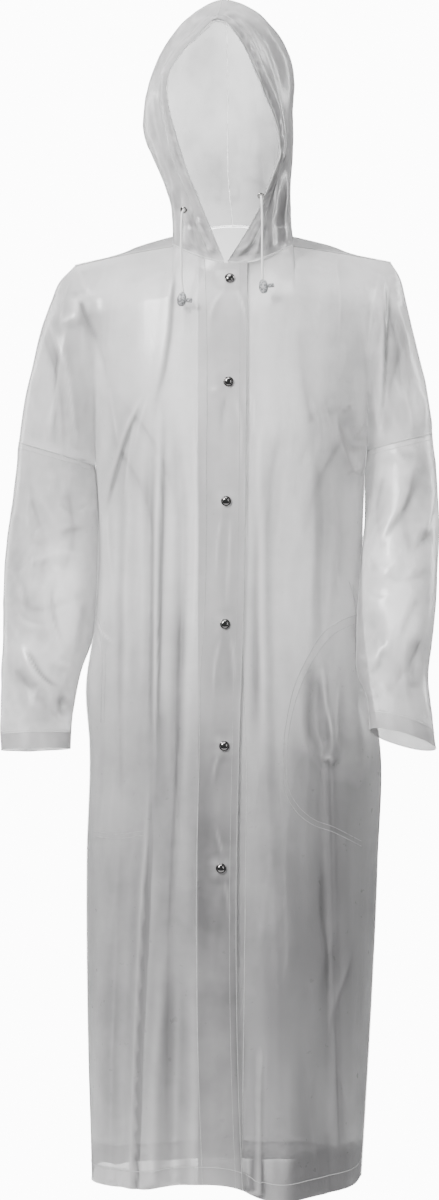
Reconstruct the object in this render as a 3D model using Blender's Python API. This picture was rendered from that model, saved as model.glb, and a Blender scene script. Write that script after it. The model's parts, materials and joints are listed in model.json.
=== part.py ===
"""Long hooded raincoat of clear film, closed with six snaps, in its worn form.

Millimetres are used in the tables and functions; metres only when a mesh is made.
+Z is up, the fronts face -Y, and +X is the wearer's left.
The origin is the point between the shoulders where the coat is held up, level
with the neck of the coat.  Every cloth piece is a wall made from one shared
form: fronts, back, sleeves and hood are rows of points worked out from the
section tables below, and what lies on a panel is the same rows moved in or out.
"""
import math

import bmesh
import bpy
import numpy as np
from mathutils import Vector

# ---------------------------------------------------------------- named sizes
WALL = 1.0            # wall of every film piece
GAP = 0.3             # gap between neighbours
SEAM = 0.2            # half of the gap at the side seams
TOP_SEAM = 0.55       # the same at the shoulders, where the walls lean together
HEM_Z = -1222.0       # body hem
UNDER_EDGE = -38.0    # edge of the under front
COLS, CORNER = 12, 5  # columns of a panel, and the one that meets the neck corner
FACING_COLS = 2       # columns of a front that its facing doubles
LAYER = WALL + GAP
UNDER = 2 * LAYER + 0.7   # how far in the under front lies where it is covered
NECK_GAP = 2.2        # the hood stands this far over the neck seam
SNAP_R, SNAP_H = 6.6, 3.6
STUD_R, STUD_H = 5.6, 1.6
SNAP_X = (2.0, 0.4, -2.6, -3.9, -4.9, -9.0)
SNAP_Z = (-64.0, -198.0, -349.0, -505.0, -659.0, -813.0)
CASING = 22.0         # width of the drawstring casing
CORD_D = 3.0
ARMPIT_Z = {-1: -300.0, 1: -280.0}
SHOULDER_H = 75.0     # height over which the shoulders round over
NECK = dict(x=6.5, half=78.0, front=82.0, back=74.0, side_z=-15.0,
            front_drop=29.0, back_rise=33.0)

# body sections: height, left and right outline, depth forward and back
BODY = dict(
    z=(-1222, -1000, -812, -660, -590, -500, -422, -350, -310, -280, -200, -110, -40, 20),
    left=(-176, -182, -183, -179, -183, -170, -166, -166, -169, -172.5, -174, -176, -172, -150),
    right=(173, 186, 194, 196, 184, 171, 168, 171, 175, 180, 184, 188, 184, 160),
    front=(147, 143, 138, 132, 127, 117, 112, 114, 117, 119, 121, 108, 88, 66),
    back=(142, 136, 130, 122, 114, 104, 98, 98, 101, 104, 108, 108, 99, 84),
)
# upper arm of the body panels: height, outer and inner limit, half depth
ARM = {
    -1: dict(z=(-300, -270, -240, -188, -136, -84, -58, -40),
             outer=(-276, -272, -268, -259, -247, -230, -217, -199),
             inner=(-171.6, -169.5, -166, -158, -146, -130, -115, -100),
             deep=(50, 51, 52, 54, 56, 55, 53, 50)),
    1: dict(z=(-282, -262, -240, -188, -136, -84, -58, -36),
            outer=(269, 266, 264, 255, 242, 230, 224, 212),
            inner=(179.6, 176, 172, 160, 148, 134, 122, 110),
            deep=(50, 51, 52, 54, 56, 55, 53, 50)),
}
ARMHOLE_OUT = {-1: -270.0, 1: -259.0}     # height of the sleeve seam, outer side
TIP = {-1: (-199.0, -40.0), 1: (212.0, -36.0)}      # shoulder tips
GROOVE_TOP = {-1: -150.0, 1: 160.0}
# sleeve sections: height, inner and outer limit, middle, half depth, tilts
SLEEVE = {
    -1: dict(z=(-285, -345, -400, -450, -526, -560, -604, -640, -668),
             inner=(-172, -171, -170, -171, -179, -190, -199, -203, -204),
             outer=(-274, -281, -289, -293, -295, -296, -296, -296, -295),
             y=(0, 14, 24, 28, 26, 19, 8, 0, -6),
             deep=(50, 52, 53, 52, 48, 45, 42, 41, 41),
             rise=(30, 16, 6, 0, -2, -2, -2, -2, -2),
             tilt=(0, 0, 0, 0, 0, -2, -4, -6, -8)),
    1: dict(z=(-270, -345, -400, -450, -526, -579, -604, -630, -652),
            inner=(180, 183, 179, 176, 170, 169, 178, 180, 181),
            outer=(267, 272, 273, 269, 261, 257, 260, 262, 264),
            y=(0, -14, -32, -48, -68, -80, -85, -88, -89),
            deep=(50, 50, 50, 48, 46, 43, 42, 41, 41),
            rise=(22, 12, 4, 0, -4, -10, -15, -20, -24),
            tilt=(0, 0, 0, 0, -4, -10, -14, -17, -20)),
}
# hood sections, from the face edge back to the neck: each is an arch from the
# neck seam over the head; half widths are at fixed shares of its height
HOOD_SHARE = (0.22, 0.48, 0.78, 0.93)
HOOD = dict(
    angle=(9, 30, 62, 86, 100, 113, 126),           # where it meets the neck seam
    top_y=(-90, -72, -8, 64, 108, 112, 74),
    top_z=(266, 276, 305, 284, 205, 100, 10),
    top_x=(-14, -13, -5, -2, 0, 0, 6),
    bow_y=(8, 6, 0, 0, 0, 0, 0),                    # sides set back from the arch's plane
    low_l=(-33, -50, -78, -74, -68, -69, -71),
    low_r=(40, 55, 79, 79, 75, 78, 84),
    cheek_l=(-63, -80, -109, -99, -84, -74, -66),
    cheek_r=(66, 74, 84, 84, 80, 78, 79),
    temple_l=(-77, -84, -87, -76, -66, -58, -43),
    temple_r=(34, 50, 78, 74, 66, 62, 56),
    crown_l=(-40, -44, -49, -44, -38, -34, -20),
    crown_r=(12, 22, 46, 42, 38, 36, 33),
)
# free ends of the drawstring: from the eyelet, out over the hood and down the
# chest to the stopper, the way the stopper leans and where its button points
CORD_POINTS = 34
CORD = {
    -1: ((-57, -80, 23), (-58.5, -86, 20), (-59.5, -93, 6), (-59.8, -98, -18),
         (-59.5, -102, -46), (-58.5, -107, -76), (-57.5, -110, -84)),
    1: ((42, -88, 40), (42.4, -93, 36), (43, -99, 18), (43.2, -104, -10),
        (43.2, -108, -38), (43.4, -112, -60), (43.6, -113.5, -68)),
}
STOPPER_LEAN = {-1: (-0.15, -0.10, -1.0), 1: (0.12, -0.10, -1.0)}
BUTTON_OUT = {-1: (1.0, -0.3, -0.15), 1: (1.0, -0.3, -0.35)}
EYELET_R, EYELET_IN = 4.6, 1.9
# pocket bag: height and reach from its straight side at the side seam
POCKET = dict(
    z=(-785, -775, -764, -747, -731, -711, -685, -646, -606, -577, -550, -517, -497),
    reach=(10, 40, 62, 80, 91, 96, 98, 96, 90, 79, 62, 32, 8),
)
# the hem of the fronts is uneven: height at each x
HEM = dict(x=(-176, -120, -45, 15, 40, 112, 145, 173),
           z=(-1222, -1221, -1211, -1217, -1229, -1229, -1226, -1222))
# the largest folds: where each starts and ends across the coat, where it fades
# out upward, its half width and its depth (out of the form when positive)
FOLDS = dict(
    front=dict(top_x=(-74, -112, -146, 72, 116, 150), low_x=(-102, -134, -160, 76, 124, 158),
               top_z=(-480, -420, -430, -620, -420, -430), width=(20, 16, 14, 26, 16, 14),
               depth=(7, -9, 4, 9, -8, 4)),
    back=dict(top_x=(-120, -74, -20, 40, 92, 134), low_x=(-132, -80, -26, 44, 98, 140),
              top_z=(-420, -330, -560, -300, -460, -400), width=(20, 22, 20, 24, 20, 16),
              depth=(7, -8, 6, -8, 8, -6)),
)


# ---------------------------------------------------------------- small maths
def smooth(xs, ys, x):
    """A smooth curve through the rows of a table, flat past its ends."""
    xs, ys = np.asarray(xs, float), np.asarray(ys, float)
    if xs[0] > xs[-1]:
        xs, ys = xs[::-1], ys[::-1]
    x = np.clip(np.asarray(x, float), xs[0], xs[-1])
    d = np.diff(ys) / np.diff(xs)
    m = np.empty_like(ys)
    m[0], m[-1] = d[0], d[-1]
    h = np.diff(xs)
    m[1:-1] = (d[:-1] * h[1:] + d[1:] * h[:-1]) / (h[1:] + h[:-1])
    i = np.clip(np.searchsorted(xs, x, side="right") - 1, 0, len(xs) - 2)
    t = (x - xs[i]) / h[i]
    return (ys[i] * (2 * t**3 - 3 * t**2 + 1) + ys[i + 1] * (3 * t**2 - 2 * t**3)
            + m[i] * h[i] * (t**3 - 2 * t**2 + t) + m[i + 1] * h[i] * (t**3 - t**2))


def step(t):
    t = np.clip(t, 0.0, 1.0)
    return t * t * (3 - 2 * t)


def bump(t):
    return np.exp(-t * t * 2.0)


# ---------------------------------------------------------------- the one form
def body(name, z):
    return smooth(BODY["z"], BODY[name], z)


def arm(side, name, z):
    return smooth(ARM[side]["z"], ARM[side][name], z)


def neck(angle):
    """Neck seam at an angle in degrees from the front, positive to +X."""
    a = np.radians(angle)
    c = np.cos(a)
    deep = np.where(c > 0, NECK["front"], NECK["back"])
    x = NECK["x"] + NECK["half"] * np.sin(a)
    z = NECK["side_z"] + np.where(c > 0, -NECK["front_drop"] * c * c,
                                  NECK["back_rise"] * np.abs(c) ** 1.3 + rise(x, deep * np.abs(c), "back"))
    return np.stack([x, -deep * c, z], -1)


def top_depth(x, part):
    r = np.clip((x - NECK["x"]) / NECK["half"], -1, 1)
    return NECK[part] * np.sqrt(1 - r * r)


def top_height(x, part):
    """Height of the neck seam, then of the shoulder seam, above each x."""
    side = np.where(x < NECK["x"], -1, 1)
    r = (x - NECK["x"]) / NECK["half"]
    c2 = np.clip(1 - r * r, 0, 1)
    collar = NECK["side_z"] + (-NECK["front_drop"] * c2 if part == "front" else NECK["back_rise"] * c2 ** 0.65)
    out = np.clip(np.abs(r) - 1, 0, None) * NECK["half"]
    tip_x = np.where(side < 0, NECK["x"] - NECK["half"] - TIP[-1][0], TIP[1][0] - NECK["x"] - NECK["half"])
    tip_z = np.where(side < 0, TIP[-1][1], TIP[1][1])
    t = out / tip_x
    slope = NECK["side_z"] + (tip_z - NECK["side_z"]) * (0.78 * t + 0.22 * t * t)
    return np.where(c2 > 0, collar, slope)


def depth(x, z, part, side):
    """How far the form stands from the seam plane at (x, z)."""
    left, right = body("left", z), body("right", z)
    cx, a = (left + right) / 2, (right - left) / 2
    torso = body(part, z) * np.clip(1 - np.abs((x - cx) / a) ** 2.2, 0, 1) ** (1 / 2.2)
    high = z > ARMPIT_Z[side] - 0.01
    outer, inner = arm(side, "outer", z), arm(side, "inner", z)
    xa, wa = (outer + inner) / 2, np.abs(outer - inner) / 2
    limb = arm(side, "deep", z) * np.sqrt(np.clip(1 - ((x - xa) / wa) ** 2, 0, 1))
    both = (torso**5 + np.where(high, limb, 0) ** 5) ** 0.2
    ztop, dtop = top_height(x, part), top_depth(x, part)
    t = np.clip((ztop - z) / SHOULDER_H, 0, 1)
    g = 1 - (1 - t) ** 1.7 if part == "front" else np.sqrt(1 - (1 - t) ** 2)
    return dtop + (both - dtop) * g


def folds(x, z, part):
    """The largest folds, out of the form, at (x, z)."""
    f, out = FOLDS[part], 0.0
    for top_x, low_x, top_z, width, deep in zip(*(f[c] for c in ("top_x", "low_x", "top_z", "width", "depth"))):
        t = np.clip((top_z - z) / (top_z - HEM_Z), 0, 1)
        out = out + deep * step(t * 1.5) * bump((x - (top_x + (low_x - top_x) * t)) / width)
    edge = np.minimum(x - body("left", z), body("right", z) - x)
    return out * step(edge / 26.0)


def rise(x, d, part):
    """The back climbs a little behind the shoulder seam before it falls."""
    if part == "front":
        return 0.0
    out = np.abs(x - NECK["x"])
    lift = np.interp(out, (0, 44, 60, 78, 128, 200, 300), (0, 0, 11, 22, 17, 4, 0))
    s = np.clip(d / 84.0, 0, 1)
    return lift * 4 * s * (1 - s)


def panel_grid(side, part, start, cols, arm_cols, rows, top_rows):
    """Rows of (x, z, s, on_arm) from the hem up, then over chest and upper arm.

    Returns the torso block, rows x cols, and the arm block, top_rows x arm_cols,
    whose first column is the torso block's last."""
    s = np.linspace(0, 1, cols + 1)
    q = np.linspace(0, 1, arm_cols + 1)
    zap, zout = ARMPIT_Z[side], ARMHOLE_OUT[side]
    corner = CORNER / COLS
    xn = NECK["x"] + side * NECK["half"]
    low = []
    for v in np.linspace(0, 1, rows + 1)[:-1]:
        z_side = HEM_Z + (zap - HEM_Z) * v
        z = HEM_Z + (-290 + (zap + 290) * s - HEM_Z) * v
        edge = body("left" if side < 0 else "right", z_side)
        x0 = start(z)
        x = x0 + (edge - x0) * np.sin(s * np.pi / 2)
        if part == "front":
            z = z + (smooth(HEM["x"], HEM["z"], x) - HEM_Z) * (1 - v)
        low.append(np.stack([x, z], -1))
    high, limb = [], []
    for w in np.linspace(0, 1, top_rows + 1):
        h = 1 - (1 - w) ** 1.75
        zc = -290 + (top_height(np.array(start(np.array(-50.0))), part) + 290) * h
        x0 = start(np.asarray(zc, float))
        ap = body("left" if side < 0 else "right", zap)
        gx = ap + (GROOVE_TOP[side] - ap) * h
        fa = np.sin(s * np.pi / 2)
        r0 = np.clip((x0 - NECK["x"]) / NECK["half"] * side, -1, 1)
        th0 = math.asin(float(r0))
        th = th0 + (np.pi / 2 - th0) * np.clip(s / corner, 0, 1)
        xt = NECK["x"] + side * NECK["half"] * np.sin(th)
        xt = np.where(s > corner, xn + (GROOVE_TOP[side] - xn) * (s - corner) / (1 - corner), xt)
        fb = (xt - x0) / (GROOVE_TOP[side] - x0)
        f = fa + (fb - fa) * step(w)
        x = x0 + (gx - x0) * f
        base = -290 + (zap + 290) * s
        z = base + (top_height(x, part) - base) * h
        high.append(np.stack([x, z], -1))
        tip_x, tip_z = TIP[side]
        z_out = zout + (tip_z - zout) * h
        xo = arm(side, "outer", z_out) if w < 1 else tip_x
        k = (1 - np.cos(np.pi * q)) / 2
        x = gx + (xo - gx) * k
        base = zap + (zout - zap) * k
        z = base + (top_height(x, part) - base) * h
        z[-1] = z_out
        limb.append(np.stack([x, z], -1))
    return np.array(low), np.array(high), np.array(limb)


def place(xz, part, side, arm_block=False):
    """Rows of (x, z) put on the form, with its folds."""
    x, z = xz[..., 0], xz[..., 1]
    d = np.maximum(depth(x, z, part, side), SEAM)
    out = 0.0 if arm_block else folds(x, z, part)
    sign = -1 if part == "front" else 1
    return np.stack([x, sign * (d + out), z + rise(x, d, part)], -1)


# ---------------------------------------------------------------- mesh makers
def clear_scene():
    for obj in list(bpy.data.objects):
        bpy.data.objects.remove(obj, do_unlink=True)


def material(name, colour, rough, metal=0.0, alpha=1.0):
    m = bpy.data.materials.new(name)
    m.use_nodes = True
    b = m.node_tree.nodes["Principled BSDF"]
    b.inputs["Base Color"].default_value = (*colour, 1)
    b.inputs["Roughness"].default_value = rough
    b.inputs["Metallic"].default_value = metal
    b.inputs["Alpha"].default_value = alpha
    m.diffuse_color = (*colour, alpha)
    return m


def make(name, points, faces, mat, wall=None, flat=False):
    mesh = bpy.data.meshes.new(name)
    mesh.from_pydata([tuple(p * 0.001) for p in np.asarray(points, float)], [], faces)
    mesh.validate()
    mesh.update()
    mesh.materials.append(mat)
    obj = bpy.data.objects.new(name, mesh)
    bpy.context.scene.collection.objects.link(obj)
    if wall:
        m = obj.modifiers.new("wall", "SOLIDIFY")
        m.thickness = wall * 0.001
        m.offset = -1.0
        m.use_even_offset = False
        m.use_quality_normals = True
    if not flat:
        mesh.shade_smooth()
    return obj


class Sheet:
    """Grids of points joined into one sheet, with shared points welded."""

    def __init__(self):
        self.points, self.faces, self.index = [], [], {}

    def put(self, p):
        key = tuple(np.round(p, 3))
        if key not in self.index:
            self.index[key] = len(self.points)
            self.points.append(np.asarray(p, float))
        return self.index[key]

    def grid(self, rows, flip=False, skip=None):
        ids = [[self.put(p) for p in row] for row in rows]
        for i in range(len(ids) - 1):
            for j in range(len(ids[i]) - 1):
                if skip and skip(i, j):
                    continue
                f = [ids[i][j], ids[i][j + 1], ids[i + 1][j + 1], ids[i + 1][j]]
                f = list(dict.fromkeys(f))
                if len(f) > 2:
                    self.faces.append(f[::-1] if flip else f)

    def build(self, name, mat, wall=WALL):
        return make(name, self.points, self.faces, mat, wall)


def offset(rows, amount):
    """The same rows moved along their own normals, out when amount > 0."""
    p = np.asarray(rows, float)
    du, dv = np.gradient(p, axis=0), np.gradient(p, axis=1)
    n = np.cross(dv, du)
    n /= np.maximum(np.linalg.norm(n, axis=-1, keepdims=True), 1e-9)
    amount = np.asarray(amount, float)
    return p + n * (amount[..., None] if amount.ndim else amount)


# ---------------------------------------------------------------- fronts, back
def free_edge(z):
    return smooth((-1222, -1100, -900, -650, -500, -60), (18, 13, 10, 14, 19, 24), z)


def under_edge(z):
    return UNDER_EDGE + 0.0 * np.asarray(z)


def middle(z):
    return NECK["x"] + 0.0 * np.asarray(z)


def panel(side, part, start, arm_cols=6, rows=13, top_rows=8):
    """The torso block and the arm block of one half of a panel, as points."""
    low, high, limb = panel_grid(side, part, start, COLS, arm_cols, rows, top_rows)
    sign = -1 if part == "front" else 1
    torso = place(np.concatenate([low, high]), part, side)
    arms = place(limb, part, side, arm_block=True)
    torso[:len(low), -1, 1] = sign * SEAM          # side seam
    torso[-1, CORNER:, 1] = sign * TOP_SEAM        # shoulder seam
    arms[-1, :, 1] = sign * TOP_SEAM
    arms[:, -1, 1] = sign * TOP_SEAM
    arms[-3:, -2:, 1] = sign * np.maximum(np.abs(arms[-3:, -2:, 1]), TOP_SEAM + 0.5)    # shoulder tip
    torso[len(low), -1, 1] = sign * 1.6            # underarm point
    return torso, arms, len(low)


def front(side, name, start, mat, under=False):
    torso, arms, n = panel(side, "front", start)
    if under:
        torso = offset(torso, -UNDER * step((62 - torso[..., 0]) / 30.0) * side)
    arms[:, 0] = torso[n:, -1]
    sheet = Sheet()
    sheet.grid(torso, flip=side < 0)
    sheet.grid(arms, flip=side < 0)
    return sheet.build(name, mat), torso, arms


def facing(side, name, torso, mat):
    """A strip that doubles the edge of a front, made from its first columns."""
    rows = offset(torso, -(LAYER + 0.05) * side)[:, :FACING_COLS + 1].copy()
    rows[:, 0, 0] -= side * -0.4
    rows[-1] += (rows[-2] - rows[-1]) * 0.2
    sheet = Sheet()
    sheet.grid(rows, flip=side < 0)
    return sheet.build(name, mat)


def back(mat):
    sheet = Sheet()
    blocks = {}
    for side in (-1, 1):
        torso, arms, n = panel(side, "back", middle)
        arms[:, 0] = torso[n:, -1]
        if side < 0:
            seam = torso[:, 0].copy()
        torso[:, 0] = seam
        sheet.grid(torso, flip=side > 0)
        sheet.grid(arms, flip=side > 0)
        blocks[side] = (torso, arms)
    return sheet.build("back", mat), blocks


def pocket(side, name, torso, mat):
    """A D-shaped bag welded inside a front, open at the side: it is sampled on
    the front's own rows, moved in."""
    inner = offset(torso, -(LAYER + 2.4) * side)
    rows = []
    for z, reach in zip(POCKET["z"], POCKET["reach"]):
        col = inner[:, 6, 2]
        i = int(np.clip(np.searchsorted(col, z) - 1, 0, len(col) - 2))
        t = (z - col[i]) / (col[i + 1] - col[i])
        line = inner[i] * (1 - t) + inner[i + 1] * t
        edge = line[-1, 0] - side * 7.0
        lx = line[:, 0] * side
        x = np.clip(lx[4:COLS], edge * side - reach, edge * side) * side
        rows.append(np.stack([x, np.interp(x * side, lx, line[:, 1]), np.interp(x * side, lx, line[:, 2])], -1))
    sheet = Sheet()
    sheet.grid(np.array(rows), flip=side < 0)
    return sheet.build(name, mat)


# ---------------------------------------------------------------- sleeves
def sleeve(side, name, mat, front_arms, back_arms, rings=11):
    """A tube from the sleeve seam down to the cuff, with a thicker hem band."""
    f, b = front_arms[0], back_arms[0]
    first = np.concatenate([f, b[::-1][1:-1]])          # inner, front, outer, back
    first = first + np.array([0, 0, -2 * GAP])
    first[0, 1] = 0.0
    outer_i = len(f) - 1
    first[outer_i, 1] = 0.0
    first[:, 0] += side * 0.8 * (1 + np.cos(np.concatenate([
        np.linspace(0, np.pi, len(f)), np.linspace(np.pi, 2 * np.pi, len(b))[1:-1]])))
    n = len(first)
    a = np.concatenate([np.linspace(0, np.pi, len(f)),
                        np.linspace(np.pi, 2 * np.pi, len(b))[1:-1]])
    t = SLEEVE[side]
    share = np.linspace(0, 1, rings + 1)
    z_end = t["z"][-1]
    z_all = t["z"][0] + (z_end - t["z"][0]) * share
    rows = []
    for k, z in enumerate(z_all):
        col = {c: float(smooth(t["z"], t[c], z)) for c in ("inner", "outer", "y", "deep", "rise", "tilt")}
        cx, hw = (col["inner"] + col["outer"]) / 2, (col["outer"] - col["inner"]) / 2
        x = cx - hw * np.cos(a)
        y = col["y"] - col["deep"] * np.sin(a)
        zz = z - col["rise"] / 2 * np.cos(a) + col["tilt"] / 2 * (-np.sin(a))
        ring = np.stack([x, y, zz], -1)
        m = float(step(share[k] / 0.12)) if k else 0.0
        rows.append(first * (1 - m) + ring * m)
    rows = np.array(rows)
    closed = np.concatenate([rows, rows[:, :1]], axis=1)
    sheet = Sheet()
    sheet.grid(closed[::-1], flip=side < 0)
    return sheet.build(name, mat), rows


# ---------------------------------------------------------------- hood
def arch_curve(k, n):
    """Points of hood section k from the left neck seam over the top to the right."""
    h = {c: HOOD[c][k] for c in HOOD}
    ang = h["angle"]
    if k == len(HOOD["angle"]) - 1:
        th = np.linspace(-ang, -180, n // 2 + 1)
        left = neck(th)
        right = neck(-th)[::-1]
        pts = np.concatenate([left, right[1:]])
        pts[:, 2] += NECK_GAP
        return pts
    bl, br = neck(-ang), neck(ang)
    bl[2] += NECK_GAP
    br[2] += NECK_GAP
    keys = [bl]
    base_y, base_z = bl[1], bl[2]
    for side in ("l", "r"):
        seq = []
        b = bl if side == "l" else br
        for share, c in zip(HOOD_SHARE, ("low", "cheek", "temple", "crown")):
            y = b[1] + (h["top_y"] - b[1]) * share + h["bow_y"] * math.sin(math.pi * share)
            z = b[2] + (h["top_z"] - b[2]) * share
            seq.append(np.array([h[f"{c}_{side}"], y, z]))
        if side == "l":
            keys += seq
            keys.append(np.array([h["top_x"], h["top_y"], h["top_z"]], float))
            top = len(keys) - 1
        else:
            keys += seq[::-1]
    keys.append(br)
    keys = np.array(keys)
    d = np.concatenate([[0], np.cumsum(np.linalg.norm(np.diff(keys, axis=0), axis=1))])
    lt = np.linspace(0, d[top], n // 2 + 1)
    rt = np.linspace(d[top], d[-1], n // 2 + 1)[1:]
    t = np.concatenate([lt, rt])
    return np.stack([smooth(d, keys[:, c], t) for c in range(3)], -1)


def hood_grid(n=20, rows=12):
    arches = np.array([arch_curve(k, n) for k in range(len(HOOD["angle"]))])
    k = np.arange(len(arches), dtype=float)
    u = np.linspace(0, len(arches) - 1, rows + 1)
    grid = np.stack([[smooth(k, arches[:, j, c], u) for j in range(arches.shape[1])]
                     for c in range(3)], -1)
    grid = grid.transpose(1, 0, 2)                # rows from the face edge back
    ang = smooth(k, HOOD["angle"], u)             # keep the bottom on the neck seam
    for i, t in enumerate(ang):
        for j, sgn in ((0, -1), (-1, 1)):
            p = neck(sgn * t)
            p[2] += NECK_GAP
            grid[i, j] = p
    return grid


def hood(mats, n=20, rows=12):
    g = hood_grid(n, rows)
    mid = n // 2
    out = {}
    for name, part, shift in (("hood_right", g[:, :mid + 1], -3 * SEAM), ("hood_left", g[:, mid:], 3 * SEAM)):
        part = part.copy()
        part[:, -1 if shift < 0 else 0, 0] += shift
        sheet = Sheet()
        sheet.grid(part, flip=False)
        out[name] = sheet.build(name, mats[name])
    return g


def across(g, wides):
    """Rows at set distances from the hood's face edge, on the hood's own facets."""
    run = np.cumsum(np.linalg.norm(np.diff(g, axis=0), axis=-1), axis=0)
    run = np.concatenate([np.zeros((1, g.shape[1])), run])
    return np.array([[[np.interp(w, run[:, j], g[:, j, c]) for c in range(3)]
                      for j in range(g.shape[1])] for w in wides])


def casing(g, mat, cord_mat):
    """The turned edge that forms the drawstring channel, and the cord in it.

    It leaves the hood's edge at a weld, swells round the cord and closes again."""
    wides = (0.8, 6.0, CASING / 2, CASING - 6.0, CASING - 0.8)
    depths = (0.7, CORD_D + 2.2, CORD_D + 5.2, CORD_D + 2.2, 0.7)
    rows = across(g, wides)
    n = offset(rows, 1.0) - rows
    inner = rows - n * (WALL + GAP + np.array(depths))[:, None, None]
    keep = slice(1, -1)
    sheet = Sheet()
    sheet.grid(inner[:, keep])
    sheet.build("hood_casing", mat)
    mid = rows[2] - n[2] * (WALL + 1.5 + CORD_D / 2)
    line = along(slack(mid[2:-2], 5.0), 46)
    tube("drawstring", line, CORD_D / 2, cord_mat)
    return rows, n


# ---------------------------------------------------------------- small parts
def turned(name, profile, centre, axis, mat, steps=10, ring=False):
    """A solid of revolution: profile of (radius, height) along the axis."""
    bm = bmesh.new()
    verts = [bm.verts.new((r * 0.001, 0, h * 0.001)) for r, h in profile]
    if ring:
        bm.verts.remove(verts.pop())
        verts.append(verts[0])
    edges = [bm.edges.new((a, b)) for a, b in zip(verts, verts[1:])]
    verts = verts[:-1] if ring else verts
    bmesh.ops.spin(bm, geom=verts + edges, cent=(0, 0, 0), axis=(0, 0, 1),
                   angle=2 * math.pi, steps=steps, use_merge=True, use_duplicate=False)
    bmesh.ops.remove_doubles(bm, verts=bm.verts, dist=1e-6)
    bmesh.ops.recalc_face_normals(bm, faces=bm.faces)
    mesh = bpy.data.meshes.new(name)
    bm.to_mesh(mesh)
    bm.free()
    mesh.materials.append(mat)
    mesh.shade_smooth()
    mesh.set_sharp_from_angle(angle=math.radians(40))
    obj = bpy.data.objects.new(name, mesh)
    bpy.context.scene.collection.objects.link(obj)
    obj.rotation_euler = Vector(axis).to_track_quat("Z", "Y").to_euler()
    obj.location = [c * 0.001 for c in centre]
    return obj


def tube(name, points, radius, mat, resolution=2):
    curve = bpy.data.curves.new(name, "CURVE")
    curve.dimensions = "3D"
    curve.bevel_depth = radius * 0.001
    curve.bevel_resolution = resolution
    curve.use_fill_caps = True
    line = curve.splines.new("POLY")
    line.points.add(len(points) - 1)
    for p, q in zip(line.points, points):
        p.co = (q[0] * 0.001, q[1] * 0.001, q[2] * 0.001, 1)
    curve.materials.append(mat)
    obj = bpy.data.objects.new(name, curve)
    bpy.context.scene.collection.objects.link(obj)
    return obj


def along(points, n):
    """n+1 evenly spaced points on a smooth curve through the given points."""
    p = np.asarray(points, float)
    d = np.concatenate([[0], np.cumsum(np.linalg.norm(np.diff(p, axis=0), axis=1))])
    fine = np.linspace(0, d[-1], 400)
    q = np.stack([smooth(d, p[:, c], fine) for c in range(3)], -1)
    e = np.concatenate([[0], np.cumsum(np.linalg.norm(np.diff(q, axis=0), axis=1))])
    t = np.linspace(0, e[-1], n + 1)
    return np.stack([np.interp(t, e, q[:, c]) for c in range(3)], -1)


def slack(points, reach):
    """A line through the points that cuts their corners on the inner side."""
    p = np.asarray(points, float)
    d = np.concatenate([[0], np.cumsum(np.linalg.norm(np.diff(p, axis=0), axis=1))])
    t = np.arange(0, d[-1], 2.0)
    q = np.stack([np.interp(t, d, p[:, c]) for c in range(3)], -1)
    k = int(reach / 2.0)
    w = np.hanning(2 * k + 3)[1:-1]
    padded = np.concatenate([2 * q[0] - q[k:0:-1], q, 2 * q[-1] - q[-2:-k - 2:-1]])
    return np.stack([np.convolve(padded[:, c], w / w.sum(), "valid") for c in range(3)], -1)


def form_point(x, z, out):
    """A point of the outer front at (x, z), moved out, and its outward normal."""
    e = 2.0
    f = lambda a, b: float(depth(np.array(a), np.array(b), "front", -1))
    d = f(x, z)
    gx = (f(x + e, z) - f(x - e, z)) / (2 * e)
    gz = (f(x, z + e) - f(x, z - e)) / (2 * e)
    n = np.array([-gx, -1.0, -gz])
    n /= np.linalg.norm(n)
    return np.array([x, -d, z]) + n * out, n


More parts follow.
